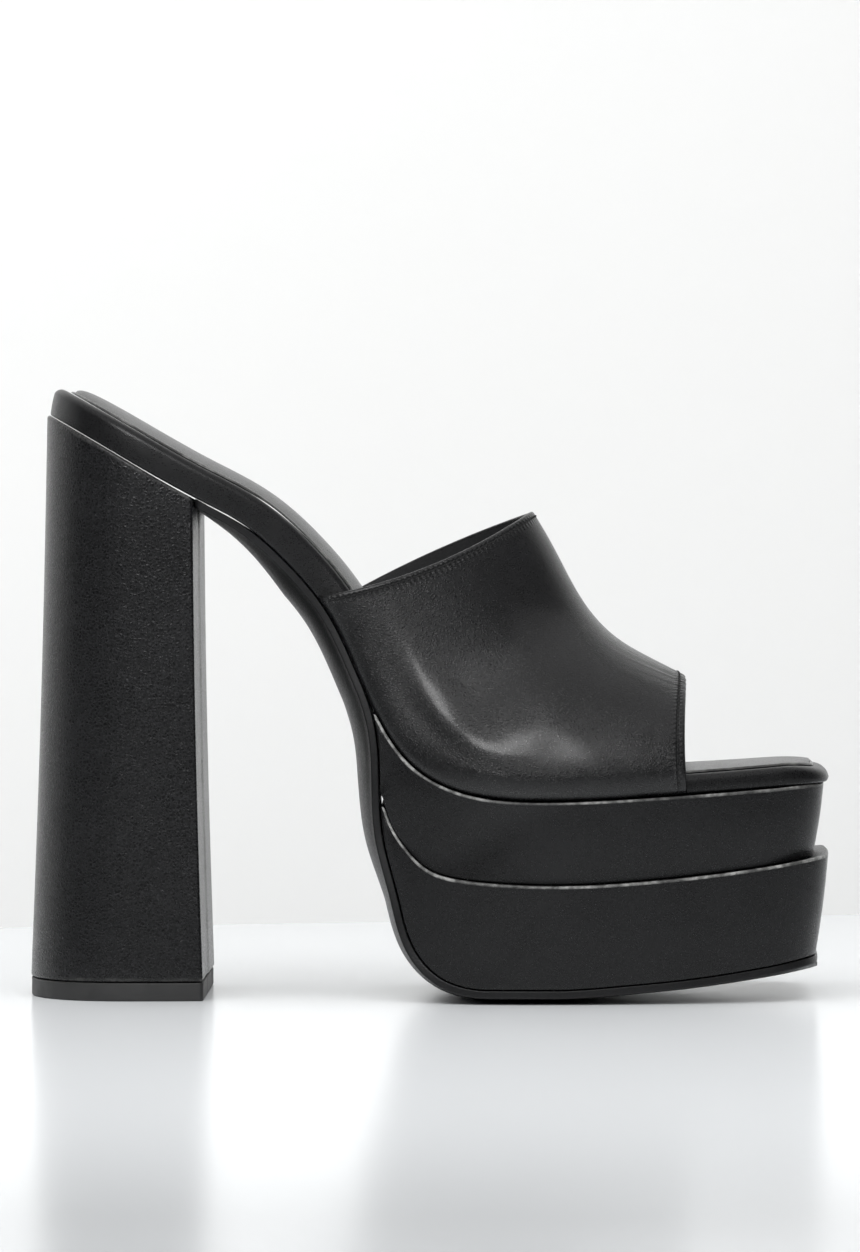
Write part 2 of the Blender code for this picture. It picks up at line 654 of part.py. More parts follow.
def make_top_piece(look):
    """The rubber top piece: the heel's foot outline as a flat plate on the floor."""
    rim = heel_foot_rim(0.0)
    lateral = np.stack([rim.x, -rim.lateral], -1)
    medial = np.stack([rim.x, rim.medial], -1)
    outline = np.vstack([lateral, medial[:0:-1]])
    curve = bpy.data.curves.new("top_piece", "CURVE")
    curve.dimensions = "2D"
    curve.fill_mode = "BOTH"
    curve.extrude = TOP_PIECE_THICKNESS / 2
    spline = curve.splines.new("POLY")
    spline.points.add(len(outline) - 1)
    for point, place in zip(spline.points, outline):
        point.co = (*place, 0, 1)
    spline.use_cyclic_u = True
    curve.materials.append(look)
    piece = bpy.data.objects.new("top_piece", curve)
    piece.location.z = TOP_PIECE_THICKNESS / 2
    SHOE.objects.link(piece)
    return piece


for old in list(bpy.data.objects):
    bpy.data.objects.remove(old)
SHOE = bpy.data.collections.new("platform_mule")
bpy.context.scene.collection.children.link(SHOE)

hide = make_look("black_hide", BLACK_HIDE, 0.42)
lining = make_look("black_lining", BLACK_LINING, 0.50)
rubber = make_look("black_rubber", BLACK_RUBBER, 0.60)

make_top_piece(rubber)
make_heel(hide)
make_outsole(rubber)
make_lower_platform(hide)
make_upper_platform(hide)
make_footbed(hide)
make_sock(lining)
make_upper(hide)
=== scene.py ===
"""Dresses the platform mule: its fine surfaces, finishes and stitching, the studio and the camera.

Each surface is worked out from the same last as the solids: side lines of the foot, the arch and the step,
the widths of the footbed, and the sections of the vamp. All sizes are in metres, +X runs from heel to toe,
+Y to the medial side and +Z up.
"""

import json
import logging
import math
from dataclasses import dataclass
from enum import Enum
from functools import cached_property
from typing import Any, NamedTuple, Optional, Sequence, Union

import bpy
import bmesh
import numpy as np
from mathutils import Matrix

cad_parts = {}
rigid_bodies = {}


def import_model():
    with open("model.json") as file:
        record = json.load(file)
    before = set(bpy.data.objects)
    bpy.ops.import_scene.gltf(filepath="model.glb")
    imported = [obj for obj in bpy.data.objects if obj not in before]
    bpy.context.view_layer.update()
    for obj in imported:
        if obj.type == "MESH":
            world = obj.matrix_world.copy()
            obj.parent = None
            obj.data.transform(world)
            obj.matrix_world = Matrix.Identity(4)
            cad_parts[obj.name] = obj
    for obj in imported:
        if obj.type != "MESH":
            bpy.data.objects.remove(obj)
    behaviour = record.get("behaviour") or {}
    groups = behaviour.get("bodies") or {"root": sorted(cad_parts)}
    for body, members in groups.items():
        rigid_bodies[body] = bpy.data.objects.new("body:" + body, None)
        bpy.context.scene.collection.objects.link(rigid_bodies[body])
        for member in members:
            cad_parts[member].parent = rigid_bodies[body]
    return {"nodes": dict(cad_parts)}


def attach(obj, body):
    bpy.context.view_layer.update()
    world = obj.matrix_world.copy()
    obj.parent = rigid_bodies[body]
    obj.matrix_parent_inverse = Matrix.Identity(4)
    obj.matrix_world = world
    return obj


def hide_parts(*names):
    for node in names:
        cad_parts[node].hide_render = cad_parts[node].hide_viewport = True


Array = np.ndarray
LOG = logging.getLogger("platform_mule")
MM = 0.001
FAR_MM = 9.0
BODY = "root"
ROUND_STEPS = 7


class Side(Enum):
    """The two sides of the shoe, as the sign of Y."""

    LATERAL = -1
    MEDIAL = 1


class Use(Enum):
    """What a soft box is for."""

    LIGHTING = "light on matt surfaces"
    REFLECTION = "a shape to be seen in gloss"


class Knot(NamedTuple):
    """A point of a line in shares: how far along it lies, and its height."""

    along: float
    height: float


def line_table(*rows: tuple[float, float]) -> Sequence[Knot]:
    """The rows as knots."""
    return tuple(Knot(*row) for row in rows)


class WidthPoint(NamedTuple):
    """A width of the footbed: share of the length, lateral and medial half-widths."""

    x: float
    lateral: float
    medial: float


class Section(NamedTuple):
    """A section of the vamp. Places are shares of the length, rise and side of the throat and the ball."""

    lateral_x: float
    medial_x: float
    crest_x: float
    rise: float
    side: float
    lateral_sag: float
    medial_sag: float
    full: float


class Rim(NamedTuple):
    """An edge line round a piece: x, z and the two half-widths at each station."""

    x: Array
    z: Array
    lateral: Array
    medial: Array

    def widened(self, out: Union[float, Array]) -> "Rim":
        """The rim with both of its sides moved out."""
        return Rim(self.x, self.z, self.lateral + out, self.medial + out)

    def sides(self) -> tuple[Array, Array]:
        """The lateral and the medial edge as rows of points."""
        lateral = np.stack([self.x, -self.lateral, self.z], -1)
        medial = np.stack([self.x, self.medial, self.z], -1)
        return lateral, medial


def natural_spline(knots: Sequence[float], values: Any, wanted: Array) -> Array:
    """The smoothest cubic curve through knots, read at some places.

    The bends at the knots solve the usual three-term system, and each span is a cubic of its two bends.

    Args:
        knots: places of the knots, rising.
        values: one row for each knot.
        wanted: places to read.

    Returns:
        One row for each wanted place.
    """
    knots = np.asarray(knots, float)
    values = np.asarray(values, float).reshape(len(knots), -1)
    span = np.diff(knots)
    inner = np.arange(1, len(knots) - 1)
    system = np.eye(len(knots))
    system[inner, inner - 1] = span[:-1]
    system[inner, inner] = 2 * (span[:-1] + span[1:])
    system[inner, inner + 1] = span[1:]
    slope = np.diff(values, axis=0) / span[:, None]
    bend = np.zeros_like(values)
    bend[inner] = 6 * np.diff(slope, axis=0)
    bend = np.linalg.solve(system, bend)
    i = np.clip(np.searchsorted(knots, wanted) - 1, 0, len(knots) - 2)
    width = span[i][:, None]
    after = (np.asarray(wanted) - knots[i])[:, None]
    before = width - after
    cubic = (bend[i] * before**3 + bend[i + 1] * after**3) / (6 * width)
    low = (values[i] / width - bend[i] * width / 6) * before
    high = (values[i + 1] / width - bend[i + 1] * width / 6) * after
    return cubic + low + high


def ripple(place: Array, wave: float, seed: float = 0.0) -> Array:
    """A smooth irregular wave between about -1 and 1: four sines whose lengths share no common measure.

    Args:
        place: where to read it.
        wave: its main wavelength.
        seed: shifts the pattern.

    Returns:
        The wave at each place.
    """
    turn = 2 * math.pi * np.asarray(place) / wave
    terms = [(1.0, 1.0, 0.3), (0.6, 1.73, 1.9), (0.45, 2.91, 4.1), (0.5, 0.57, 2.6)]
    total = sum(a * np.sin(f * turn + p + seed * (1.7 + f)) for a, f, p in terms)
    return total / 1.9


def smooth_step(low: float, high: float, value: Array) -> Array:
    """0 below low, 1 above high, and a smooth rise between them."""
    share = np.clip((value - low) / (high - low), 0, 1)
    return share * share * (3 - 2 * share)


def bell(value: Array, middle: float, reach: float) -> Array:
    """1 in the middle, falling off as the square of the distance over the reach."""
    return np.exp(-(((value - middle) / reach) ** 2))


def unit(vectors: Array) -> Array:
    """The vectors at length 1."""
    return vectors / np.maximum(np.linalg.norm(vectors, axis=-1, keepdims=True), 1e-12)


class SideLine:
    """A line of (x, z) points in the side view, measured by its length."""

    FINE = 2400

    def __init__(self, points: Array) -> None:
        """Keeps the points and their distances from the start.

        Args:
            points: rows of x and z.
        """
        self.points = np.asarray(points, float)
        steps = np.hypot(*np.diff(self.points, axis=0).T)
        self.along = np.concatenate([[0.0], np.cumsum(steps)])
        self.length = float(self.along[-1])

    @classmethod
    def through(cls, few: Any) -> "SideLine":
        """A smooth line through a few points, a natural spline over their chords.

        Args:
            few: rows of x and z.

        Returns:
            The line.
        """
        rough = cls(few)
        return cls(natural_spline(rough.along, rough.points, np.linspace(0, rough.length, cls.FINE)))

    def at(self, distance: Any) -> Array:
        """Points at these distances from the start."""
        return np.stack([np.interp(distance, self.along, self.points[:, k]) for k in (0, 1)], -1)

    def normal(self, distance: Any) -> Array:
        """Unit normals on the upper side of the line, square to its run over a short reach.

        Args:
            distance: distances from the start.

        Returns:
            One row of x and z for each distance.
        """
        reach = self.length / 500
        ahead = self.at(np.minimum(distance + reach, self.length))
        behind = self.at(np.maximum(distance - reach, 0))
        tangent = unit(ahead - behind)
        return np.stack([-tangent[..., 1], tangent[..., 0]], -1)

    def distance_at_x(self, x: Any) -> Array:
        """Distance at which a line that always runs forward reaches x."""
        return np.interp(x, self.points[:, 0], self.along)

    def nearest(self, point: Array) -> float:
        """Distance of the line's point that lies nearest to a point."""
        return float(self.along[np.argmin(np.hypot(*(self.points - point).T))])

    def spread(self, start: float, end: float, count: int, weight: float) -> Array:
        """Distances from start to end, closer together where the line bends.

        Equal steps are taken of the distance plus a weight times the turn of the normal.

        Args:
            start: the first distance.
            end: the last distance.
            count: how many there are.
            weight: metres of distance that one radian of turn is worth.

        Returns:
            The distances.
        """
        fine = np.linspace(start, end, self.FINE)
        bend = np.linalg.norm(np.diff(self.normal(fine), axis=0), axis=-1)
        effort = np.concatenate([[0.0], np.cumsum(np.diff(fine) + weight * bend)])
        return np.interp(np.linspace(0, effort[-1], count), effort, fine)

    def between(self, start: float, end: float) -> "SideLine":
        """The part of the line between two distances."""
        inside = (self.along > start) & (self.along < end)
        return SideLine(np.vstack([self.at(start), self.points[inside], self.at(end)]))

    def lifted(self, height: float) -> "SideLine":
        """The line moved along its normals."""
        return SideLine(self.points + height * self.normal(self.along))

    def joined(self, other: "SideLine") -> "SideLine":
        """This line followed by the other."""
        return SideLine(np.vstack([self.points, other.points]))


@dataclass(frozen=True)
class Last:
    """The last and the lines that every piece follows. The sizes are those of the solids.

    The lines' knots are shares. Those of the foot run along the length and up from the ball to the heel,
    those of the arch ahead of its split and up to it, those of the floor up the toe spring, and those of
    the step up to the step's height.
    """

    length: float = 0.2224
    heel_height: float = 0.1598
    ball_height: float = 0.0545
    step_height: float = 0.0320
    ball_width: float = 0.0840
    waist_width: float = 0.0505
    seat_width: float = 0.0600
    toe_radius: float = 0.0130
    toe_skew: float = 0.075
    toe_bow: float = 0.0018
    board: float = 0.0082
    toe_board: float = 0.0054
    setback: float = 0.0052
    upright: float = 0.0020
    rim_round: float = 0.0022
    toe_roll: float = 0.0022
    roll_length: float = 0.0120
    sole: float = 0.0021
    crown: float = 0.0046
    ball_crown: float = 0.37
    toe_spring: float = 0.0092
    platform_out: float = 0.0023
    platform_toe_out: float = 0.0010
    gap: float = 0.0003
    split_share: float = 0.417
    step_tip: float = 1.76
    lead_in: Sequence[float] = (0.012, 0.008, 0.004, 0.0)
    flat_range: tuple[float, float] = (0.560, 0.655)
    seat_power: float = 2.3
    bend_weight: float = 0.060
    back_steps: int = 26
    body_steps: int = 150
    toe_steps: int = 18
    foot_line: Sequence[Knot] = line_table(
        (0.009, 1.020), (0.100, 0.910), (0.204, 0.786), (0.270, 0.709), (0.324, 0.609),
        (0.370, 0.491), (0.404, 0.350), (0.440, 0.187), (0.479, 0.084), (0.542, 0.020),
        (0.631, 0.001), (0.767, 0.013), (0.901, 0.032), (1.015, 0.052),
    )
    arch_line: Sequence[Knot] = line_table(
        (0.015, 0.852), (0.019, 0.677), (0.023, 0.507), (0.041, 0.309), (0.061, 0.133),
        (0.095, 0.035),
    )
    floor_line: Sequence[Knot] = line_table(
        (0.560, 0.00), (0.610, 0.00), (0.655, 0.00), (0.726, 0.11), (0.792, 0.25),
        (0.886, 0.53), (0.945, 0.77), (1.010, 1.10),
    )
    step_line: Sequence[Knot] = line_table(
        (0.456, 1.400), (0.471, 1.265), (0.491, 1.140), (0.537, 1.045), (0.596, 1.010),
        (0.656, 1.000), (0.726, 1.020), (0.796, 1.060), (0.866, 1.110), (0.935, 1.175),
        (1.005, 1.260),
    )

    @property
    def heel_back(self) -> float:
        """X of the back of the heel."""
        return -self.length / 2

    @property
    def toe_front(self) -> float:
        """X of the toe."""
        return self.length / 2

    @property
    def footbed_toe(self) -> float:
        """X of the footbed's toe before it is bent."""
        corner = 0.29 * self.ball_width
        lead = self.toe_bow * (1 - (2 * corner / self.ball_width) ** 2)
        return self.toe_front - self.toe_skew * corner - lead

    @property
    def seat_round(self) -> float:
        """Length of the rounded back of the seat."""
        return 0.46 * self.seat_width

    @property
    def seat_back(self) -> float:
        """X of the back of the footbed's underside."""
        return self.heel_back + self.setback

    @cached_property
    def widths(self) -> Sequence[WidthPoint]:
        """Half-widths of the footbed, as shares of the seat, the waist or the ball."""
        seat, waist, ball = self.seat_width, self.waist_width, self.ball_width
        rows = (
            (-0.021, seat, 0.97, 0.500),
            (0.098, seat, 1.00, 0.500),
            (0.198, seat, 0.99, 0.500),
            (0.298, waist, 1.07, 0.520),
            (0.372, waist, 1.00, 0.555),
            (0.452, ball, 0.70, 0.575),
            (0.542, ball, 0.87, 0.556),
            (0.621, ball, 0.97, 0.516),
            (0.696, ball, 1.00, 0.497),
            (0.796, ball, 0.97, 0.490),
            (0.895, ball, 0.91, 0.485),
            (1.015, ball, 0.84, 0.480),
        )
        return [WidthPoint(x, size * w * side, size * w * (1 - side)) for x, size, w, side in rows]

    def at_share(self, share: Any) -> Any:
        """The x of a share of the shoe's length."""
        return self.heel_back + share * self.length

    def half_widths(self, x: Array) -> Array:
        """Half-widths of the footbed, a natural spline through the table.

        Args:
            x: places along the shoe.

        Returns:
            A row of lateral and a row of medial half-widths.
        """
        places = [self.at_share(p.x) for p in self.widths]
        sides = [(p.lateral, p.medial) for p in self.widths]
        return natural_spline(places, sides, np.ravel(x)).T

    def board_lift(self, x: Array) -> Array:
        """Height of the footbed's top above its underside: thinner to the toe, rolled down at its tip.

        Args:
            x: places along the shoe.

        Returns:
            The height at each place.
        """
        thick = np.interp(x, [self.at_share(0.45), self.at_share(0.75)], [self.board, self.toe_board])
        past = np.clip(1 - (self.footbed_toe - x) / self.roll_length, 0, 1)
        return thick - self.toe_roll * past**2

    def out_at(self, x: Array) -> Array:
        """How far the upper platform's top stands outside the footbed."""
        places = [self.at_share(0.80), self.at_share(0.97)]
        return np.interp(x, places, [self.platform_out, self.platform_toe_out])

    @cached_property
    def foot(self) -> SideLine:
        """The underside of the footbed."""
        rise = self.heel_height - self.ball_height
        line = [(self.at_share(p.along), self.ball_height + p.height * rise) for p in self.foot_line]
        return SideLine.through(line)

    @cached_property
    def arch(self) -> SideLine:
        """The outsole's inner line, from its split with the footbed to the toe."""
        foot = self.foot
        split = float(foot.distance_at_x(self.at_share(self.split_share)))
        lead_in = foot.at(split - np.array(self.lead_in))
        split_x, split_z = lead_in[-1]
        flat = self.sole + self.ball_crown * self.crown + self.gap
        arch = [
            (split_x + p.along * self.length, flat + p.height * (split_z - flat))
            for p in self.arch_line
        ]
        floor = [(self.at_share(p.along), flat + p.height * self.toe_spring) for p in self.floor_line]
        line = SideLine.through([*lead_in, *arch, *floor])
        points = line.points
        flat_start, flat_end = (self.at_share(share) for share in self.flat_range)
        on_flat = (points[:, 0] > flat_start) & (points[:, 0] < flat_end)
        points[on_flat, 1] = flat
        points[:, 1] = np.maximum(points[:, 1], flat)
        return SideLine(points[np.argmin(np.hypot(*(points - lead_in[-1]).T)) :])

    @cached_property
    def step(self) -> SideLine:
        """The top of the lower platform."""
        falling = self.arch.points[:, 1] > self.step_tip * self.step_height
        tip = self.arch.at(self.arch.along[falling][-1])
        line = [(self.at_share(p.along), p.height * self.step_height) for p in self.step_line]
        return SideLine.through([tip, *line])

    def bend_toe(self, points: Array) -> Array:
        """Moves the toe forward: by its skew for each metre across, and by its bow in the middle.

        Args:
            points: rows of x, y and z.

        Returns:
            The moved rows.
        """
        share = smooth_step(self.at_share(0.78), self.toe_front, points[..., 0])
        y = points[..., 1]
        moved = points.copy()
        bow = self.toe_bow * (1 - (2 * y / self.ball_width) ** 2)
        moved[..., 0] += share * (self.toe_skew * y + bow)
        return moved

    def rim(
        self,
        line: SideLine,
        lift: float,
        start: float,
        front: float,
        radius: float,
        side_out: float = 0.0,
        back_round: float = 0.0,
        on_board: bool = False,
    ) -> Rim:
        """A rim on a side line. Its half-widths are the footbed's, less a quarter circle at each toe corner.

        Args:
            line: the side line.
            lift: how far the rim is moved along the line's normals.
            start: distance on the line at which it starts.
            front: x at which it ends.
            radius: rounding of the two front corners.
            side_out: widening of each side.
            back_round: length over which the back is rounded, or 0 for a blunt start.
            on_board: whether it is lifted by the footbed's thickness too.

        Returns:
            The rim.
        """
        corner = np.linspace(0, math.pi / 2, self.toe_steps + 1)[1:]
        corner_start = float(line.distance_at_x(front - radius))
        body_start, back = start, np.zeros(0)
        if back_round:
            turn = np.linspace(0, math.pi / 2, self.back_steps + 1)[:-1]
            back_x = line.at(start)[0]
            back = line.distance_at_x(back_x + back_round * (1 - np.cos(turn)))
            body_start = float(line.distance_at_x(back_x + back_round))
        body = line.spread(body_start, corner_start, self.body_steps, self.bend_weight)
        toe = line.distance_at_x(front - radius + radius * np.sin(corner))
        distance = np.concatenate([back, body, toe])
        place = line.at(distance)
        cut = np.zeros_like(distance)
        cut[-self.toe_steps :] = radius * (1 - np.cos(corner))
        lateral, medial = self.half_widths(place[:, 0]) + side_out - cut
        if back_round:
            behind = np.clip((place[0, 0] + back_round - place[:, 0]) / back_round, 0, 1)
            closing = (1 - behind**self.seat_power) ** (1 / self.seat_power)
            lateral, medial = lateral * closing, medial * closing
        rise = lift + on_board * self.board_lift(place[:, 0])
        place = place + rise[:, None] * line.normal(distance)
        return Rim(place[:, 0], place[:, 1], lateral, medial)


class Patch(NamedTuple):
    """A grid of points with the finish it takes and its marks, such as millimetres from an edge."""

    points: Array
    finish: int
    marks: dict[str, Array]


class Skin:
    """A mesh gathered from patches that share their edges."""

    WELD = 2e-6

    def __init__(self, last: Last) -> None:
        """Starts with no patches."""
        self.last = last
        self.patches: list[Patch] = []

    def add(self, points: Array, finish: int = 0, **marks: Array) -> None:
        """Adds a grid of points; each mark is a value at every point of it."""
        full = {name: np.broadcast_to(mark, points.shape[:2]) for name, mark in marks.items()}
        self.patches.append(Patch(points, finish, full))

    def build(
        self, name: str, finishes: Sequence[bpy.types.Material], bend: bool = True
    ) -> bpy.types.Object:
        """Welds the patches into one object.

        Points closer together than the weld are one vertex. A quad that has shrunk to an edge is left out.

        Args:
            name: the piece's name.
            finishes: materials, in the order of the patches' finish numbers.
            bend: whether the toe is bent forward.

        Returns:
            The object, in the scene.
        """
        points = np.concatenate([p.points.reshape(-1, 3) for p in self.patches])
        if bend:
            points = self.last.bend_toe(points)
        quads, slots, first = [], [], 0
        for patch in self.patches:
            rows, columns = patch.points.shape[:2]
            index = first + np.arange(rows * columns).reshape(rows, columns)
            corners = [index[:-1, :-1], index[1:, :-1], index[1:, 1:], index[:-1, 1:]]
            quads.append(np.stack(corners, -1).reshape(-1, 4))
            slots.append(np.full(len(quads[-1]), patch.finish))
            first += rows * columns
        _, kept, welded = np.unique(
            np.round(points / self.WELD).astype(np.int64), axis=0, return_index=True, return_inverse=True
        )
        quads_all, slots_all = welded.ravel()[np.concatenate(quads)], np.concatenate(slots)
        same = quads_all == np.roll(quads_all, -1, axis=1)
        shrunk = same.sum(1)
        whole = shrunk == 0
        thin = shrunk == 1
        triangles = quads_all[thin][~same[thin]].reshape(-1, 3)
        faces = quads_all[whole].tolist() + triangles.tolist()
        mesh = bpy.data.meshes.new(name)
        mesh.from_pydata(points[kept].tolist(), [], faces)
        for finish in finishes:
            mesh.materials.append(finish)
        mesh.polygons.foreach_set("material_index", np.concatenate([slots_all[whole], slots_all[thin]]))
        for mark in sorted({key for patch in self.patches for key in patch.marks}):
            parts = [
                np.ravel(p.marks.get(mark, np.full(p.points.shape[:2], FAR_MM))) for p in self.patches
            ]
            attribute = mesh.attributes.new(mark, "FLOAT", "POINT")
            attribute.data.foreach_set("value", np.concatenate(parts)[kept].astype(np.float32))
        self.face_outwards(mesh)
        piece = bpy.data.objects.new(name, mesh)
        bpy.context.scene.collection.objects.link(piece)
        return piece

    @staticmethod
    def face_outwards(mesh: bpy.types.Mesh) -> None:
        """Turns every face of a closed mesh outwards and shades it smooth.

        Args:
            mesh: the mesh.
        """
        shape = bmesh.new()
        shape.from_mesh(mesh)
        bmesh.ops.recalc_face_normals(shape, faces=shape.faces)
        shape.to_mesh(mesh)
        shape.free()
        mesh.shade_smooth()


def round_profile(height: float, low: float, high: float, bulge: float = 0.0, steps: int = 8) -> Array:
    """The profile of a wall with a quarter circle at its foot and at its top, and a slight swell between.

    Args:
        height: height of the wall.
        low: radius at the foot.
        high: radius at the top.
        bulge: swell of the middle.
        steps: levels between the two roundings.

    Returns:
        Rows of share of the height, metres added to it, and metres outwards.
    """
    turn = np.linspace(0, math.pi / 2, ROUND_STEPS)
    foot = np.stack([np.zeros(ROUND_STEPS), low * (1 - np.cos(turn)), -low * (1 - np.sin(turn))], -1)
    top = np.stack([np.ones(ROUND_STEPS), -high * (1 - np.sin(turn)), -high * (1 - np.cos(turn))], -1)
    share = np.linspace(0, 1, steps + 2)[1:-1]
    wall = np.stack([share, low * (1 - share) - high * share, bulge * np.sin(math.pi * share)], -1)
    wall[:, 1] *= height > 0
    return np.vstack([foot, wall, top])


class Slab:
    """A closed piece between a foot rim and a top rim, with rounded edges and caps that may be crowned."""

    ACROSS = 33

    def __init__(self, last: Last, foot: Rim, top: Rim, blunt: bool = True) -> None:
        """Keeps the rims.

        Args:
            last: the last.
            foot: the lower rim.
            top: the upper rim.
            blunt: whether the back is a straight edge, and not a point.
        """
        self.last, self.foot, self.top, self.blunt = last, foot, top, blunt
        self.across = np.linspace(0, 1, self.ACROSS)
        self.count = len(foot.x)

    def loop(self, rim: Rim) -> Array:
        """The rim as one closed row: lateral side, toe, medial side and, on a blunt piece, the back.

        Args:
            rim: the rim.

        Returns:
            Rows of x, y and z, the last one the same as the first.
        """
        lateral, medial = rim.sides()
        share = self.across[1:-1, None]
        toe = lateral[-1] + share * (medial[-1] - lateral[-1])
        rows = [lateral, toe, medial[::-1] if self.blunt else medial[:0:-1]]
        if self.blunt:
            rows.append(medial[0] + share * (lateral[0] - medial[0]))
        row = np.vstack(rows)
        return np.vstack([row, row[:1]])

    def levels(self, profile: Array) -> Array:
        """The wall's rows: each profile row moves the loop up the wall and out along its normal.

        Args:
            profile: rows of share of the height, metres added to it, and metres outwards.

        Returns:
            A grid with one loop for each profile row.
        """
        low, high = self.loop(self.foot), self.loop(self.top)
        rise = high - low
        up = unit(rise)
        middle = (low + high) / 2
        ahead = np.roll(middle[:-1], -1, axis=0) - np.roll(middle[:-1], 1, axis=0)
        ahead = np.vstack([ahead, ahead[:1]])
        out = unit(np.cross(ahead, up))
        share, add, away = (profile[:, k, None, None] for k in range(3))
        return low + share * rise + add * up + away * out

    def split(self, row: Array) -> tuple[Array, Array]:
        """The lateral and medial edges in a closed row.

        Args:
            row: the row.

        Returns:
            Both edges, from the back to the toe.
        """
        n, m = self.count, len(self.across) - 2
        lateral = row[:n]
        if self.blunt:
            return lateral, row[n + m : 2 * n + m][::-1]
        return lateral, np.vstack([row[:1], row[n + m : 2 * n + m - 1][::-1]])

    def cap(self, row: Array, crown: Optional[Array] = None, flat: float = 0.0) -> Array:
        """The surface across a row, swelled by the crown times 1 less the square of the place across.

        Args:
            row: the closed row.
            crown: swell of the middle in x and z at each station, if there is one.
            flat: share of the width that takes the whole swell.

        Returns:
            A grid from the lateral to the medial edge.
        """
        lateral, medial = self.split(row)
        grid = lateral[:, None] + self.across[:, None] * (medial - lateral)[:, None]
        if crown is not None:
            off = np.clip((np.abs(2 * self.across - 1) - flat) / (1 - flat), 0, 1)
            arc = (1 - off**2)[None, :]
            grid[..., 0] += crown[:, None, 0] * arc
            grid[..., 2] += crown[:, None, 1] * arc
        return grid

    def closed(
        self,
        rows: Array,
        low_crown: Optional[Array] = None,
        high_crown: Optional[Array] = None,
        flat: float = 0.0,
        **marks: Array,
    ) -> Skin:
        """The wall and both caps as one skin.

        Args:
            rows: the wall's rows.
            low_crown: swell of the lower cap, if it has one.
            high_crown: swell of the upper cap, if it has one.
            flat: share of the width that takes the whole swell.
            marks: marks of the wall.

        Returns:
            The skin.
        """
        skin = Skin(self.last)
        skin.add(rows, **marks)
        skin.add(self.cap(rows[0], low_crown, flat))
        skin.add(self.cap(rows[-1], high_crown, flat))
        return skin


class Value:
    """A shader socket in a Python expression: each operator adds one Math node."""

    def __init__(self, graph: "Graph", socket: bpy.types.NodeSocket) -> None:
        """Wraps the socket of a graph."""
        self.graph, self.socket = graph, socket

    def __add__(self, other: Any) -> "Value":
        """Sum."""
        return self.graph.math("ADD", self, other)

    def __sub__(self, other: Any) -> "Value":
        """Difference."""
        return self.graph.math("SUBTRACT", self, other)

    def __rsub__(self, other: Any) -> "Value":
        """Difference from a number."""
        return self.graph.math("SUBTRACT", other, self)

    def __mul__(self, other: Any) -> "Value":
        """Product."""
        return self.graph.math("MULTIPLY", self, other)

    __radd__ = __add__
    __rmul__ = __mul__


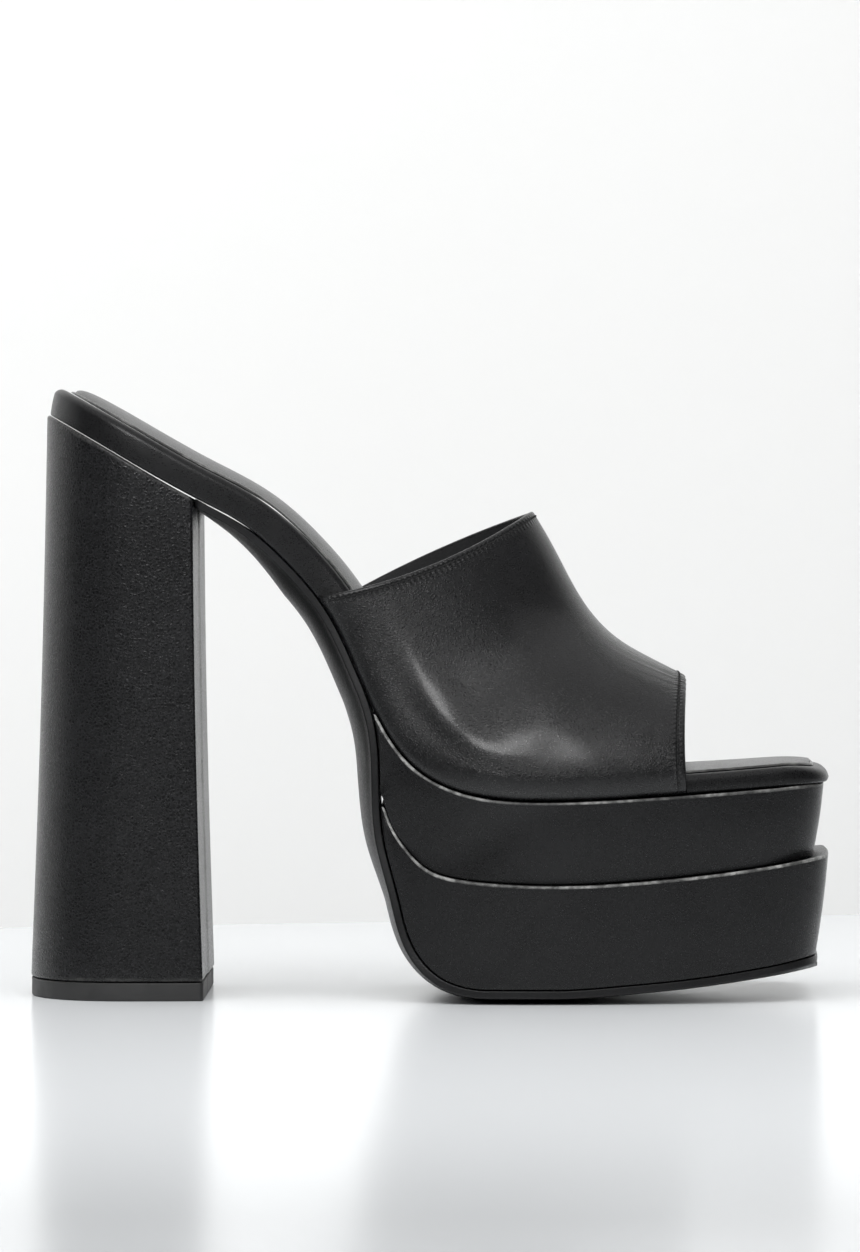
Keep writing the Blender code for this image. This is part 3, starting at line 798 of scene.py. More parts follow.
class Graph:
    """The nodes of a material or of the world, made in one way."""

    def __init__(self, owner: Union[bpy.types.Material, bpy.types.World]) -> None:
        """Turns on the owner's nodes.

        Args:
            owner: the new material or world.
        """
        owner.use_nodes = True
        self.owner = owner
        self.tree = owner.node_tree
        self.shader = self.tree.nodes.get("Principled BSDF")

    @classmethod
    def named(cls, name: str) -> "Graph":
        """The nodes of a new material."""
        return cls(bpy.data.materials.new(name))

    def node(self, kind: str, settings: dict[str, Any], inputs: dict[Any, Any]) -> bpy.types.Node:
        """Adds a node.

        Args:
            kind: node type without its ShaderNode prefix.
            settings: its properties, set before the sockets.
            inputs: socket names or numbers, with numbers, tuples or values for them.

        Returns:
            The node.
        """
        made = self.tree.nodes.new("ShaderNode" + kind)
        for key, setting in settings.items():
            setattr(made, key, setting)
        for key, given in inputs.items():
            self.feed(made.inputs[key], given)
        return made

    def feed(self, socket: bpy.types.NodeSocket, given: Any) -> None:
        """Links a value to a socket, or sets it to a number or tuple.

        Args:
            socket: the socket.
            given: the value, number or tuple.
        """
        if isinstance(given, Value):
            self.tree.links.new(given.socket, socket)
        else:
            socket.default_value = given

    def value(self, made: bpy.types.Node, output: Union[str, int] = 0) -> Value:
        """An output of a node as a value."""
        return Value(self, made.outputs[output])

    def math(self, operation: str, *given: Any) -> Value:
        """One Math node."""
        return self.value(self.node("Math", {"operation": operation}, dict(enumerate(given))))

    def ranged(self, given: Value, low: float, high: float) -> Value:
        """0 where the value is below low, 1 above high, and a smooth rise between them."""
        settings = {"interpolation_type": "SMOOTHSTEP"}
        return self.value(self.node("MapRange", settings, {0: given, 1: low, 2: high}))

    def mark(self, name: str) -> Value:
        """A mark of the mesh, in millimetres."""
        return self.value(self.node("Attribute", {"attribute_name": name}, {}), "Fac")

    def place(self) -> Value:
        """The place on the piece, in millimetres.

        Returns:
            The object's own coordinates, scaled.
        """
        object_place = self.value(self.node("TexCoord", {}, {}), "Object")
        scaled = {0: object_place, 1: (1000.0, 1000.0, 1000.0)}
        return self.value(self.node("VectorMath", {"operation": "MULTIPLY"}, scaled))

    def noise(self, place: Value, size: float, detail: float = 3.0, seed: float = 0.0) -> Value:
        """Noise from about 0 to 1.

        Args:
            place: where it is read, in millimetres.
            size: width of its lumps, in millimetres.
            detail: how many finer layers it has.
            seed: shifts the pattern.

        Returns:
            The noise.
        """
        moved = self.node("VectorMath", {"operation": "ADD"}, {0: place, 1: (seed, 1.3 * seed, 0.7 * seed)})
        inputs = {"Vector": self.value(moved), "Scale": 1.0 / size, "Detail": detail}
        return self.value(self.node("TexNoise", {}, inputs), "Fac")

    def pebbles(self, place: Value, size: float, wander: float = 0.35) -> Value:
        """Height of a pebbled grain: the distance from the edges of cells that are warped by a noise.

        Args:
            place: where it is read, in millimetres.
            size: width of the cells, in millimetres.
            wander: how far the warp moves them, in half sizes.

        Returns:
            0 in the valleys and 1 on the pebbles.
        """
        warp = self.node("TexNoise", {}, {"Vector": place, "Scale": 0.9 / size, "Detail": 1.0})
        shift = {0: self.value(warp, "Color"), 1: (wander * size * 2,) * 3, 2: place}
        moved = self.value(self.node("VectorMath", {"operation": "MULTIPLY_ADD"}, shift))
        settings = {"feature": "DISTANCE_TO_EDGE"}
        cells = self.node("TexVoronoi", settings, {"Vector": moved, "Scale": 1.0 / size})
        return self.ranged(self.value(cells, "Distance"), 0.0, 0.32)

    def mix(self, share: Any, low: Any, high: Any) -> Value:
        """A colour between two."""
        made = self.node("Mix", {"data_type": "RGBA"}, {0: share, 6: low, 7: high})
        return self.value(made, 2)

    def bump(self, height_mm: Value) -> None:
        """Feeds the normal from a height in millimetres."""
        inputs = {"Height": height_mm * MM, "Distance": 1.0, "Strength": 1.0}
        self.feed(self.shader.inputs["Normal"], self.value(self.node("Bump", {}, inputs)))

    def gloss(self, **sockets: float) -> None:
        """Sets the shader's own sockets, named with underscores."""
        for name, number in sockets.items():
            self.shader.inputs[name.replace("_", " ").title().replace("Ior", "IOR")].default_value = number


def grey(tone: float, blue: float = 1.0) -> tuple[float, float, float, float]:
    """A grey whose blue is a share of its tone."""
    return tone, tone, tone * blue, 1.0


@dataclass(frozen=True)
class Hide:
    """A coated black artificial leather. Depths, widths of the grain and reaches are in millimetres.

    The grain is pebbles with valleys between them, finer pores, and slow waves. Clouds are wide worn areas,
    specks are lighter pores, and along an edge a highlight is painted in glints that come and go along it.
    """

    name: str
    tone: float = 0.0032
    grain: float = 0.8
    depth: float = 0.030
    pores: float = 0.010
    wave: float = 0.06
    rough: float = 0.28
    rough_spread: float = 0.08
    coat: float = 0.0
    coat_rough: float = 0.18
    ior: float = 1.35
    cloud: float = 0.12
    speck: float = 0.22
    edge_highlight_tone: float = 0.10
    edge_reach: float = 0.8
    edge_lift: float = 0.03
    wave_width: float = 4.5
    cloud_width: float = 22.0
    glint_width: float = 1.5
    glint_run: float = 9.0
    paler: float = 5.0
    valley_rough: float = 0.12
    cloud_rough: float = 0.03
    edge_rough: float = 0.05
    cloud_range: tuple[float, float] = (0.35, 0.75)
    speck_range: tuple[float, float] = (0.42, 0.66)
    glint_range: tuple[float, float] = (0.38, 0.62)
    run_range: tuple[float, float] = (0.40, 0.62)

    def surface(self, graph: Graph, place: Value) -> tuple[Value, Value, Value]:
        """The grain that all the hides share.

        Args:
            graph: the material's nodes.
            place: the place on the piece.

        Returns:
            Height in millimetres, colour and roughness: pebbles over pores, duller in their valleys.
        """
        pebble = graph.pebbles(place, self.grain)
        pores = graph.noise(place, self.grain * 0.5, 2.0)
        waves = graph.noise(place, self.wave_width, 2.0, 31.0)
        clouds = graph.ranged(graph.noise(place, self.cloud_width, 3.0, 5.0), *self.cloud_range)
        height = pebble * self.depth + pores * self.pores + waves * self.wave
        base = grey(self.tone, 1.06)
        pale = grey(self.tone * self.paler, 1.08)
        specks = graph.ranged(pores, *self.speck_range)
        tone = graph.mix(clouds * self.cloud + specks * self.speck, base, pale)
        rough = self.rough + (waves - 0.5) * self.rough_spread
        rough = rough + (1 - pebble) * self.valley_rough + clouds * self.cloud_rough
        return height, tone, rough

    def make(self, edge: Optional[str] = None) -> bpy.types.Material:
        """The finish, with a painted highlight in glints along the fold where an edge is marked.

        Args:
            edge: the mark that holds the distance from the fold, if the piece has one.

        Returns:
            The material.
        """
        graph = Graph.named(self.name)
        place = graph.place()
        height, tone, rough = self.surface(graph, place)
        if edge:
            # Painted highlight: towards the marked fold the colour is lightened to the edge highlight tone in
            # glints and runs, and the fold is raised a little and made rougher.
            near = 1 - graph.ranged(graph.mark(edge), 0.05, self.edge_reach)
            glints = graph.ranged(graph.noise(place, self.glint_width, 4.0, 11.0), *self.glint_range)
            runs = graph.ranged(graph.noise(place, self.glint_run, 2.0, 17.0), *self.run_range)
            painted_highlight = near * (glints * 0.6 + 0.4) * (runs * 0.75 + 0.25)
            tone = graph.mix(painted_highlight, tone, grey(self.edge_highlight_tone, 0.97))
            height = height + painted_highlight * self.edge_lift
            rough = rough + painted_highlight * self.edge_rough
        return self.finish(graph, height, tone, rough)

    def finish(self, graph: Graph, height: Value, tone: Value, rough: Value) -> bpy.types.Material:
        """Feeds the shader.

        Args:
            graph: the material's nodes.
            height: height in millimetres.
            tone: colour.
            rough: roughness.

        Returns:
            The material.
        """
        graph.feed(graph.shader.inputs["Base Color"], tone)
        graph.feed(graph.shader.inputs["Roughness"], rough)
        graph.gloss(coat_weight=self.coat, coat_roughness=self.coat_rough, ior=self.ior)
        graph.bump(height)
        return graph.owner


@dataclass(frozen=True)
class StitchedHide(Hide):
    """The vamp's leather, with the pull of the stitches along its folded edges."""

    pitch: float = 1.55
    throat_line: float = 1.7
    toe_line: float = 2.2
    furrow: float = 0.30
    furrow_reach: float = 0.6
    furrow_rough: float = 0.35
    pucker: float = 0.10
    pucker_reach: float = 2.4

    def make(self, edge: Optional[str] = None) -> bpy.types.Material:
        """The hide, with a furrow on each stitch line and small puckers beside it.

        Args:
            edge: not used, because the band marks the distances from both of its own edges.

        Returns:
            The material.
        """
        graph = Graph.named(self.name)
        height, tone, rough = self.surface(graph, graph.place())
        for mark, line in (("throat_mm", self.throat_line), ("toe_mm", self.toe_line)):
            off = graph.math("ABSOLUTE", graph.mark(mark) - line)
            furrow = 1 - graph.ranged(off, 0.0, self.furrow_reach)
            wave = graph.math("SINE", graph.mark("round_mm") * (2 * math.pi / self.pitch))
            pull = 1 - graph.ranged(off, 0.2, self.pucker_reach)
            height = height - furrow * self.furrow + wave * pull * self.pucker
            rough = rough + furrow * self.furrow_rough
        return self.finish(graph, height, tone, rough)


@dataclass(frozen=True)
class Rubber:
    """Black rubber sheet with a faint mould texture."""

    name: str = "sole_rubber"
    tone: float = 0.012
    rough: float = 0.5

    def make(self) -> bpy.types.Material:
        """The finish: fine pits, and scuffs that change the roughness.

        Returns:
            The material.
        """
        graph = Graph.named(self.name)
        place = graph.place()
        pits = graph.noise(place, 0.35, 2.0)
        scuff = graph.ranged(graph.noise(place, 7.0, 5.0, 7.0), 0.48, 0.62)
        tone = graph.mix(scuff * 0.6, grey(self.tone), grey(self.tone * 1.7))
        graph.feed(graph.shader.inputs["Base Color"], tone)
        graph.feed(graph.shader.inputs["Roughness"], self.rough + scuff * 0.12 + pits * 0.06)
        graph.gloss(ior=1.5)
        graph.bump(pits * 0.02 + scuff * 0.01)
        return graph.owner


@dataclass(frozen=True)
class Thread:
    """Black sewing thread."""

    name: str = "black_thread"
    tone: float = 0.002

    def make(self) -> bpy.types.Material:
        """The finish: a twist of fine plies.

        Returns:
            The material.
        """
        graph = Graph.named(self.name)
        twist = graph.node("TexWave", {}, {"Vector": graph.place(), "Scale": 1.6, "Distortion": 1.0})
        ply = graph.value(twist, "Fac")
        tone = graph.mix(ply, grey(self.tone), grey(self.tone * 2.2))
        graph.feed(graph.shader.inputs["Base Color"], tone)
        graph.feed(graph.shader.inputs["Roughness"], 0.62 + ply * 0.15)
        graph.bump(ply * 0.03)
        return graph.owner


@dataclass(frozen=True)
class Finishes:
    """Every finish of the shoe, made once."""

    vamp: bpy.types.Material
    lining: bpy.types.Material
    heel: bpy.types.Material
    platform: bpy.types.Material
    footbed: bpy.types.Material
    sock: bpy.types.Material
    sole: bpy.types.Material
    wrap: bpy.types.Material
    thread: bpy.types.Material

    @classmethod
    def make(cls) -> "Finishes":
        """Makes the finishes, each hide with its own grain and gloss.

        Returns:
            All of them.
        """
        vamp = StitchedHide(
            "vamp_hide", grain=0.6, depth=0.035, pores=0.028, rough=0.23, coat=0.2, wave=0.02
        )
        heel = Hide(
            "heel_hide", 0.0026, grain=0.95, depth=0.040, pores=0.035, rough=0.20, speck=0.8, edge_highlight_tone=0.03
        )
        platform = Hide(
            "platform_hide", grain=0.7, depth=0.016, rough=0.24, edge_highlight_tone=0.24, edge_reach=0.36
        )
        sock = Hide(
            "sock_hide", 0.006, grain=0.6, depth=0.010, pores=0.005, rough=0.19, speck=0.2, edge_highlight_tone=0.12
        )
        return cls(
            vamp=vamp.make(),
            lining=Hide("vamp_lining", tone=0.009, grain=0.5, depth=0.02, rough=0.5).make(),
            # The heel, platform and sock finishes paint a highlight along their marked edges.
            heel=heel.make("edge_mm"),
            platform=platform.make("edge_mm"),
            footbed=Hide("footbed_hide", grain=0.6, depth=0.012, rough=0.25).make(),
            sock=sock.make("edge_mm"),
            sole=Rubber().make(),
            wrap=Hide("sole_wrap", grain=0.8, depth=0.02, rough=0.30).make(),
            thread=Thread().make(),
        )


def settle(piece: bpy.types.Object, slot: str, *nodes: str) -> bpy.types.Object:
    """Lets a piece ride on the shoe, stand for its nodes, and reports it.

    Args:
        piece: the piece.
        slot: the record's material slot, not used.
        nodes: the nodes that it replaces.

    Returns:
        The piece.
    """
    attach(piece, BODY)
    if nodes:
        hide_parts(*nodes)
    LOG.info("%s: %d faces", piece.name, len(piece.data.polygons))
    return piece


@dataclass(frozen=True)
class HeelBlock:
    """The wrapped block heel with its rubber top piece."""

    last: Last
    finishes: Finishes
    foot_depth: float = 0.0492
    flare: float = 0.0010
    seat_out: float = 0.0006
    lean: float = 0.0027
    breast_radius: float = 0.0012
    waist: float = 0.0005
    plate: float = 0.0050
    plate_inset: float = 0.0002
    flap: float = 0.00035
    height_mm: float = 150.0
    lead: float = 0.01
    flap_rise: tuple[float, float] = (0.0012, 0.0002)
    joint_half: float = 0.0004
    joint_wander: float = 0.0003
    joint_wave: float = 0.05

    def outline(self, height: float, inset: float = 0.0) -> Rim:
        """The D-shaped outline of the heel's foot, level at a height.

        Args:
            height: the height.
            inset: how far inside the outline it lies.

        Returns:
            The rim.
        """
        last = self.last
        line = SideLine(np.array([(last.heel_back - self.lead, height), (last.toe_front, height)]))
        front = last.heel_back + self.foot_depth - inset
        out = self.flare - inset
        start = self.lead + inset
        return last.rim(line, 0.0, start, front, self.breast_radius, out, last.seat_round)

    def build_block(self) -> bpy.types.Object:
        """The block: its rows go from the foot outline to the seat on the footbed's underside.

        Returns:
            The piece.
        """
        last = self.last
        back = float(last.foot.distance_at_x(last.seat_back - self.seat_out))
        top_x = last.heel_back + self.foot_depth - self.lean
        seat = last.rim(
            last.foot, -last.gap, back, top_x, self.breast_radius, self.seat_out, last.seat_round
        )
        slab = Slab(last, self.outline(self.plate + last.gap), seat, blunt=False)
        profile = round_profile(1.0, low=0.0006, high=0.0007, bulge=-self.waist, steps=40)
        # Millimetres from the wall's top or foot: along both edges the heel's finish paints a highlight.
        edge = np.minimum(profile[:, 0], 1 - profile[:, 0])[:, None] * self.height_mm
        skin = slab.closed(self.breast_flap(slab.levels(profile)), edge_mm=edge)
        return settle(skin.build("heel_block", [self.finishes.heel], bend=False), "cover", "heel")

    def breast_flap(self, rows: Array) -> Array:
        """Lets the cover's joint show on the breast: the medial flap lies a step above the lateral one.

        The step runs up the middle of the breast in a slow wave.

        Args:
            rows: the block's rows.

        Returns:
            The rows with the step.
        """
        front = rows[..., 0].max(1, keepdims=True)
        on_breast = smooth_step(*self.flap_rise, front - rows[..., 0])
        off_joint = rows[..., 1] + self.joint_wander * ripple(rows[..., 2], self.joint_wave)
        lateral = 1 - smooth_step(-self.joint_half, self.joint_half, off_joint)
        moved = rows.copy()
        moved[..., 0] -= on_breast * self.flap * lateral
        return moved

    def build_plate(self) -> bpy.types.Object:
        """The top piece: a plate with slightly rounded edges, a hair inside the heel.

        Returns:
            The piece.
        """
        foot, top = (self.outline(height, self.plate_inset) for height in (0.0, self.plate))
        slab = Slab(self.last, foot, top, blunt=False)
        skin = slab.closed(slab.levels(round_profile(self.plate, low=0.0005, high=0.0003)))
        return settle(skin.build("heel_top_piece", [self.finishes.sole], bend=False), "rubber", "top_piece")


@dataclass(frozen=True)
class Sole:
    """The outsole and the two wrapped platforms."""

    last: Last
    finishes: Finishes
    tread_share: float = 0.34
    taper: float = 0.0016
    step_out: float = 0.0030
    lower_taper: float = 0.0020
    undercut: float = 0.0013
    upper_slope: float = 0.0029
    lower_slope: float = 0.0034
    upper_point: float = 0.0070
    lower_point: float = 0.0035
    fold: float = 0.00055
    breast_x: float = -0.0644
    step_start: float = 0.001
    sheet_start: float = 0.0005
    waist_out: tuple[float, float] = (-0.0010, -0.0002)
    crown_line: Sequence[Knot] = line_table(
        (0.00, 0.04), (0.06, 0.48), (0.14, 1.00), (0.30, 1.00), (0.37, 0.86),
        (0.44, 0.62), (0.50, 0.37), (1.00, 0.37),
    )

    def platform(self, name: str, foot: Rim, top: Rim, node: str) -> bpy.types.Object:
        """One platform: its top edge is a fold and its foot edge a tighter one.

        Args:
            name: the piece's name.
            foot: its lower rim.
            top: its upper rim.
            node: the node that it replaces.

        Returns:
            The piece.
        """
        slab = Slab(self.last, foot, top)
        height = float(np.median(top.z - foot.z))
        profile = round_profile(height, low=0.0004, high=self.fold, bulge=0.0003, steps=16)
        from_top = (1 - profile[:, 0]) * height / MM
        # Millimetres from the top fold: along it the platform's finish paints a highlight.
        skin = slab.closed(slab.levels(profile), edge_mm=from_top[:, None])
        return settle(skin.build(name, [self.finishes.platform]), "cover", node)

    def build_upper_platform(self) -> bpy.types.Object:
        """The platform under the footbed, whose point runs back up the arch.

        Returns:
            The piece.
        """
        last = self.last
        split = float(last.foot.distance_at_x(last.at_share(last.split_share)))
        front = last.footbed_toe - self.undercut
        top = last.rim(last.foot, -last.gap, split + self.upper_point, front, last.toe_radius)
        tip = last.arch.nearest(last.step.points[0])
        step = last.step.between(self.step_start, last.step.length).lifted(last.gap)
        line = last.arch.between(self.upper_point, tip).joined(step)
        foot = last.rim(line, 0.0, 0.0, front - self.upper_slope, last.toe_radius)
        height = (top.z - foot.z) / (top.z - foot.z).max()
        top = top.widened(last.out_at(top.x))
        foot = foot.widened(last.out_at(foot.x) - self.taper * height)
        return self.platform("platform_upper", foot, top, "upper_platform")

    def build_lower_platform(self) -> bpy.types.Object:
        """The wider platform below the step.

        Returns:
            The piece.
        """
        last = self.last
        tip = last.arch.nearest(last.step.points[0])
        top = last.rim(last.step, 0.0, self.lower_point, last.footbed_toe, last.toe_radius)
        front = last.footbed_toe - self.lower_slope
        foot = last.rim(last.arch, 0.0, tip + self.lower_point, front, last.toe_radius)
        height = np.clip((top.z - foot.z) / (last.step_height - last.sole), 0, 1)
        ledge = self.step_out * (0.3 + 0.7 * height) - self.taper
        top = top.widened(last.out_at(top.x) + ledge)
        foot = foot.widened(last.out_at(foot.x) + ledge - self.lower_taper * height)
        return self.platform("platform_lower", foot, top, "lower_platform")

    def build_outsole(self) -> bpy.types.Object:
        """The sheet sole: its underside swells by the crown times 1 less the square of the place across.

        Returns:
            The piece.
        """
        last = self.last
        breast = float(last.foot.distance_at_x(self.breast_x))
        split = float(last.foot.distance_at_x(last.at_share(last.split_share)))
        arch = last.arch.between(self.sheet_start, last.arch.length)
        line = last.foot.between(breast, split).joined(arch)
        top = last.rim(line, -last.gap, 0.0, last.footbed_toe - self.lower_slope, last.toe_radius)
        place = np.stack([top.x, top.z], -1)
        steps = np.linalg.norm(np.diff(place, axis=0), axis=-1)
        along = np.concatenate([[0.0], np.cumsum(steps)]) / steps.sum()
        ahead = unit(np.gradient(place, axis=0))
        down = np.stack([ahead[:, 1], -ahead[:, 0]], -1)
        low = place + last.sole * down
        start = top.x[0] + last.gap
        hidden = low[:, 0] < start
        low[hidden] = start, float(np.interp(start, low[:40, 0], low[:40, 1]))
        ledge = self.step_out - self.taper - self.lower_taper
        waist = np.interp(along, [0, 0.30, 0.50], [*self.waist_out, last.platform_out + ledge])
        top = top.widened(np.minimum(waist, last.out_at(top.x) + ledge))
        foot = Rim(low[:, 0], low[:, 1], top.lateral, top.medial)
        share = np.interp(along, *zip(*self.crown_line))
        crown = last.crown * share[:, None] * down
        slab = Slab(last, foot, top)
        rows = slab.levels(round_profile(last.sole, low=0.0005, high=0.0003, steps=4))
        skin = slab.closed(rows, low_crown=crown, flat=self.tread_share)
        return settle(skin.build("sheet_sole", [self.finishes.wrap]), "rubber", "outsole")


@dataclass(frozen=True)
class Insole:
    """The wrapped footbed and the padded sock on it."""

    last: Last
    finishes: Finishes
    inset: float = 0.0038
    sock_edge: float = 0.0007
    crown: float = 0.0027
    toe_crown: float = 0.0008
    tuck: float = 0.0008

    def build_footbed(self) -> bpy.types.Object:
        """The board: its foot is on the foot line, and its top edge is a quarter circle all round.

        Returns:
            The piece.
        """
        last = self.last
        start = float(last.foot.distance_at_x(last.seat_back))
        radius = last.toe_radius
        foot = last.rim(last.foot, 0.0, start, last.footbed_toe, radius, 0.0, last.seat_round)
        rims = [foot]
        for turn in np.linspace(0, math.pi / 2, 9):
            inset = last.rim_round * (1 - math.cos(turn))
            drop = last.rim_round * (1 - math.sin(turn))
            back, front = start - last.upright + inset, last.footbed_toe - inset
            rims.append(last.rim(last.foot, -drop, back, front, radius, -inset, last.seat_round, True))
        slab = Slab(last, foot, rims[1], blunt=False)
        tucked = round_profile(1.0, low=self.tuck, high=0.0, bulge=0.0001)[: 1 - ROUND_STEPS]
        wall = slab.levels(tucked)
        rows = np.concatenate([wall, np.array([slab.loop(rim) for rim in rims[2:]])])
        skin = slab.closed(rows)
        return settle(skin.build("footbed_board", [self.finishes.footbed]), "cover", "footbed")

    def build_sock(self) -> bpy.types.Object:
        """The sock: a thin rounded edge, and padding crowned across and faded out towards the toe.

        Returns:
            The piece.
        """
        last = self.last
        start = float(last.foot.distance_at_x(last.seat_back)) - last.upright + self.inset
        front, radius = last.footbed_toe - self.inset, last.toe_radius
        low, high = (
            last.rim(
                last.foot, last.gap + d, start + d, front - d, radius, -self.inset - d, last.seat_round, True
            )
            for d in (0.0, self.sock_edge)
        )
        slab = Slab(last, low, high, blunt=False)
        profile = round_profile(self.sock_edge, low=0.00005, high=0.0004, bulge=0.0001, steps=3)
        rows = slab.levels(profile)
        closing = 1 - (1 - np.minimum((high.lateral + high.medial) / last.waist_width, 1)) ** 2
        places = [last.at_share(0.45), last.at_share(0.80)]
        crown = closing * np.interp(high.x, places, [self.crown, self.toe_crown])
        direction = last.foot.normal(last.foot.distance_at_x(high.x))
        # The whole edge wall is marked 0 mm from the fold, so all of it takes the sock finish's painted
        # highlight.
        skin = slab.closed(rows, high_crown=crown[:, None] * direction, edge_mm=np.zeros((1, 1)))
        piece = settle(skin.build("sock_pad", [self.finishes.sock]), "lining", "sock")
        return piece


class Bend(NamedTuple):
    """Where the vamp bends over the footbed's edge.

    Its numbers are the share of the way from throat to toe, the run from the foot and the share of the depth.
    """

    ahead: float
    run: float
    depth: float


class Drag(NamedTuple):
    """A bundle of drag lines at the toe edge: places and lengths are shares of the way round it."""

    strength: float
    wave: float
    seed: float
    middle: float
    reach: float


@dataclass(frozen=True)
class Vamp:
    """The wide band over the instep, with its lining, folded edges and stitching."""

    last: Last
    finishes: Finishes
    wall: float = 0.0016
    instep: float = 0.0794
    bulge: float = 0.0016
    ridge_width: float = 0.0080
    ridge_depth: float = 0.00036
    bend: Sequence[Bend] = (
        Bend(0.00, 0.0110, 0.00),
        Bend(0.25, 0.0105, 0.00),
        Bend(0.45, 0.0090, 0.20),
        Bend(0.65, 0.0084, 1.00),
        Bend(0.80, 0.0082, 0.50),
        Bend(1.00, 0.0078, 0.35),
    )
    swell_x: float = 0.0030
    swell_z: float = 0.0780
    swell_turn: float = 0.764
    swell_reach: float = 0.0080
    swell_length: float = 0.0200
    swell_height: float = 0.0011
    swell_side: tuple[float, float] = (0.006, 0.024)
    swell_medial: float = 0.6
    board_edge: float = 0.009
    board_fade: float = 0.008
    throat_fade: float = 0.012
    drags: Sequence[Drag] = (Drag(1.0, 0.028, 1.0, 0.36, 0.07), Drag(0.6, 0.035, 2.0, 0.66, 0.08))
    drag_height: float = 0.00030
    drag_reach: float = 0.009
    soft_height: float = 0.00008
    soft_wave: float = 0.041
    soft_fade: float = 0.02
    tuck: float = 0.0011
    tuck_height: float = 0.0019
    pitch: float = 0.00155
    throat_line: float = 0.0017
    toe_line: float = 0.0022
    stitch_start: float = 0.004
    stitch_radius: float = 0.00027
    stitch_reach: float = 0.40
    stitch_lift: float = 0.00002
    stitch_dip: float = 0.00022
    rows: int = 150
    band_steps: int = 12
    arch_steps: int = 96
    blur: int = 5
    fold_rows: int = 3
    sections: Sequence[Section] = (
        Section(0.359, 0.366, 0.625, 1.000, 0.030, 0.0070, -0.0032, 0.92),
        Section(0.399, 0.402, 0.653, 0.864, 0.030, 0.0040, -0.0012, 0.90),
        Section(0.462, 0.459, 0.686, 0.692, 0.024, 0.0010, 0.0010, 0.86),
        Section(0.563, 0.569, 0.725, 0.566, 0.012, 0.0000, 0.0000, 0.82),
        Section(0.688, 0.700, 0.768, 0.491, 0.004, 0.0000, 0.0000, 0.78),
        Section(0.809, 0.828, 0.814, 0.424, 0.000, -0.0022, 0.0000, 0.74),
    )

    def half(self, table: Section, side: Side) -> Array:
        """One side of the outer surface, from the footbed's underside to the crest.

        The path of a section is a parabola from its foot to its crest. Its height follows a sine of the turn
        and its half-width a power of the cosine, with a swell just above the footbed's edge.

        Args:
            table: the sections' columns, one value for each row.
            side: which side.

        Returns:
            A grid of points.
        """
        last = self.last
        lateral = side is Side.LATERAL
        at_foot = last.at_share(table.lateral_x if lateral else table.medial_x)
        sag = table.lateral_sag if lateral else table.medial_sag
        foot = last.foot.at(last.foot.distance_at_x(at_foot))
        crest_z = last.ball_height + table.rise * self.instep
        crest = np.stack([last.at_share(table.crest_x), crest_z], -1)
        chord = crest - foot
        reach = np.linalg.norm(chord, axis=-1)
        below = np.stack([chord[:, 1], -chord[:, 0]], -1) / reach[:, None]
        bend = (foot + crest) / 2 + sag[:, None] * below
        band = (last.board_lift(foot[:, 0]) / reach)[:, None]
        turn = np.linspace(0, math.pi / 2, self.arch_steps + 1)
        beside_board = np.linspace(0, 1, self.band_steps + 1)[:-1]
        share = np.hstack([band * beside_board, band + (1 - band) * np.sin(turn)])
        q = share[..., None]
        path = (1 - q) ** 2 * foot[:, None] + 2 * q * (1 - q) * bend[:, None] + q**2 * crest[:, None]
        low = path[:, : self.band_steps + 1]
        apart = np.hypot(*(low[..., None, :] - last.foot.points).transpose(3, 0, 1, 2))
        nearest = last.foot.points[apart.argmin(-1), 0]
        footing = last.half_widths(nearest)[0 if lateral else 1].reshape(nearest.shape)
        kernel = np.hanning(2 * self.blur + 1)
        kernel = kernel / kernel.sum()
        padded = np.pad(footing, ((self.blur, self.blur), (0, 0)), mode="reflect", reflect_type="odd")
        footing = sum(w * padded[k : k + len(footing)] for k, w in enumerate(kernel))
        footing = np.hstack([footing, np.repeat(footing[:, -1:], self.arch_steps, axis=1)])
        closing = np.cos(turn).clip(0) ** table.full[:, None]
        closing = np.hstack([np.ones((len(share), self.band_steps)), closing])
        swell = share / (1.2 * band)
        bulge = self.bulge * swell * np.exp(1 - swell) * closing
        depth = share * reach[:, None] / self.tuck_height
        tuck = self.tuck * np.clip(1 - depth, 0, 1) ** 2
        width = (footing + last.gap + self.wall) * closing + bulge - tuck
        ridge = table.side[:, None] * last.ball_width * (1 - closing)
        return np.stack([path[..., 0], ridge + side.value * width, path[..., 1]], -1)

    @cached_property
    def sheet(self) -> Array:
        """The outer surface without its creases.

        Returns:
            A grid, rows from the throat to the toe, columns from the lateral to the medial foot.
        """
        places = np.linspace(0, 1, len(self.sections))
        table = Section(*natural_spline(places, self.sections, np.linspace(0, 1, self.rows + 1)).T)
        lateral, medial = self.half(table, Side.LATERAL), self.half(table, Side.MEDIAL)
        grid = self.last.bend_toe(np.concatenate([lateral, medial[:, -2::-1]], axis=1))
        return grid + self.waist_swell(grid)[..., None] * self.normals(grid)

    def waist_swell(self, grid: Array) -> Array:
        """Height of the swell by the waist, where the leather is pushed out along a slanting line.

        The swell is a bell across its line, in the side view, and fades towards the throat, the toe, the
        footbed and the crest.

        Args:
            grid: the outer surface.

        Returns:
            The height at each point.
        """
        x, y, z = (grid[..., k] for k in range(3))
        ahead, above = x - self.swell_x, z - self.swell_z
        cos, sin = math.cos(self.swell_turn), math.sin(self.swell_turn)
        across = bell(ahead * cos + above * sin, 0.0, self.swell_reach)
        along = bell(above * cos - ahead * sin, 0.0, self.swell_length)
        side = smooth_step(*self.swell_side, np.abs(y)) * np.where(y < 0, 1.0, self.swell_medial)
        off_board = smooth_step(0.0, self.board_fade, self.run(grid, 1) - self.board_edge)
        off_throat = smooth_step(0.0, self.throat_fade, self.run(grid, 0))
        return self.swell_height * across * along * side * off_board * off_throat

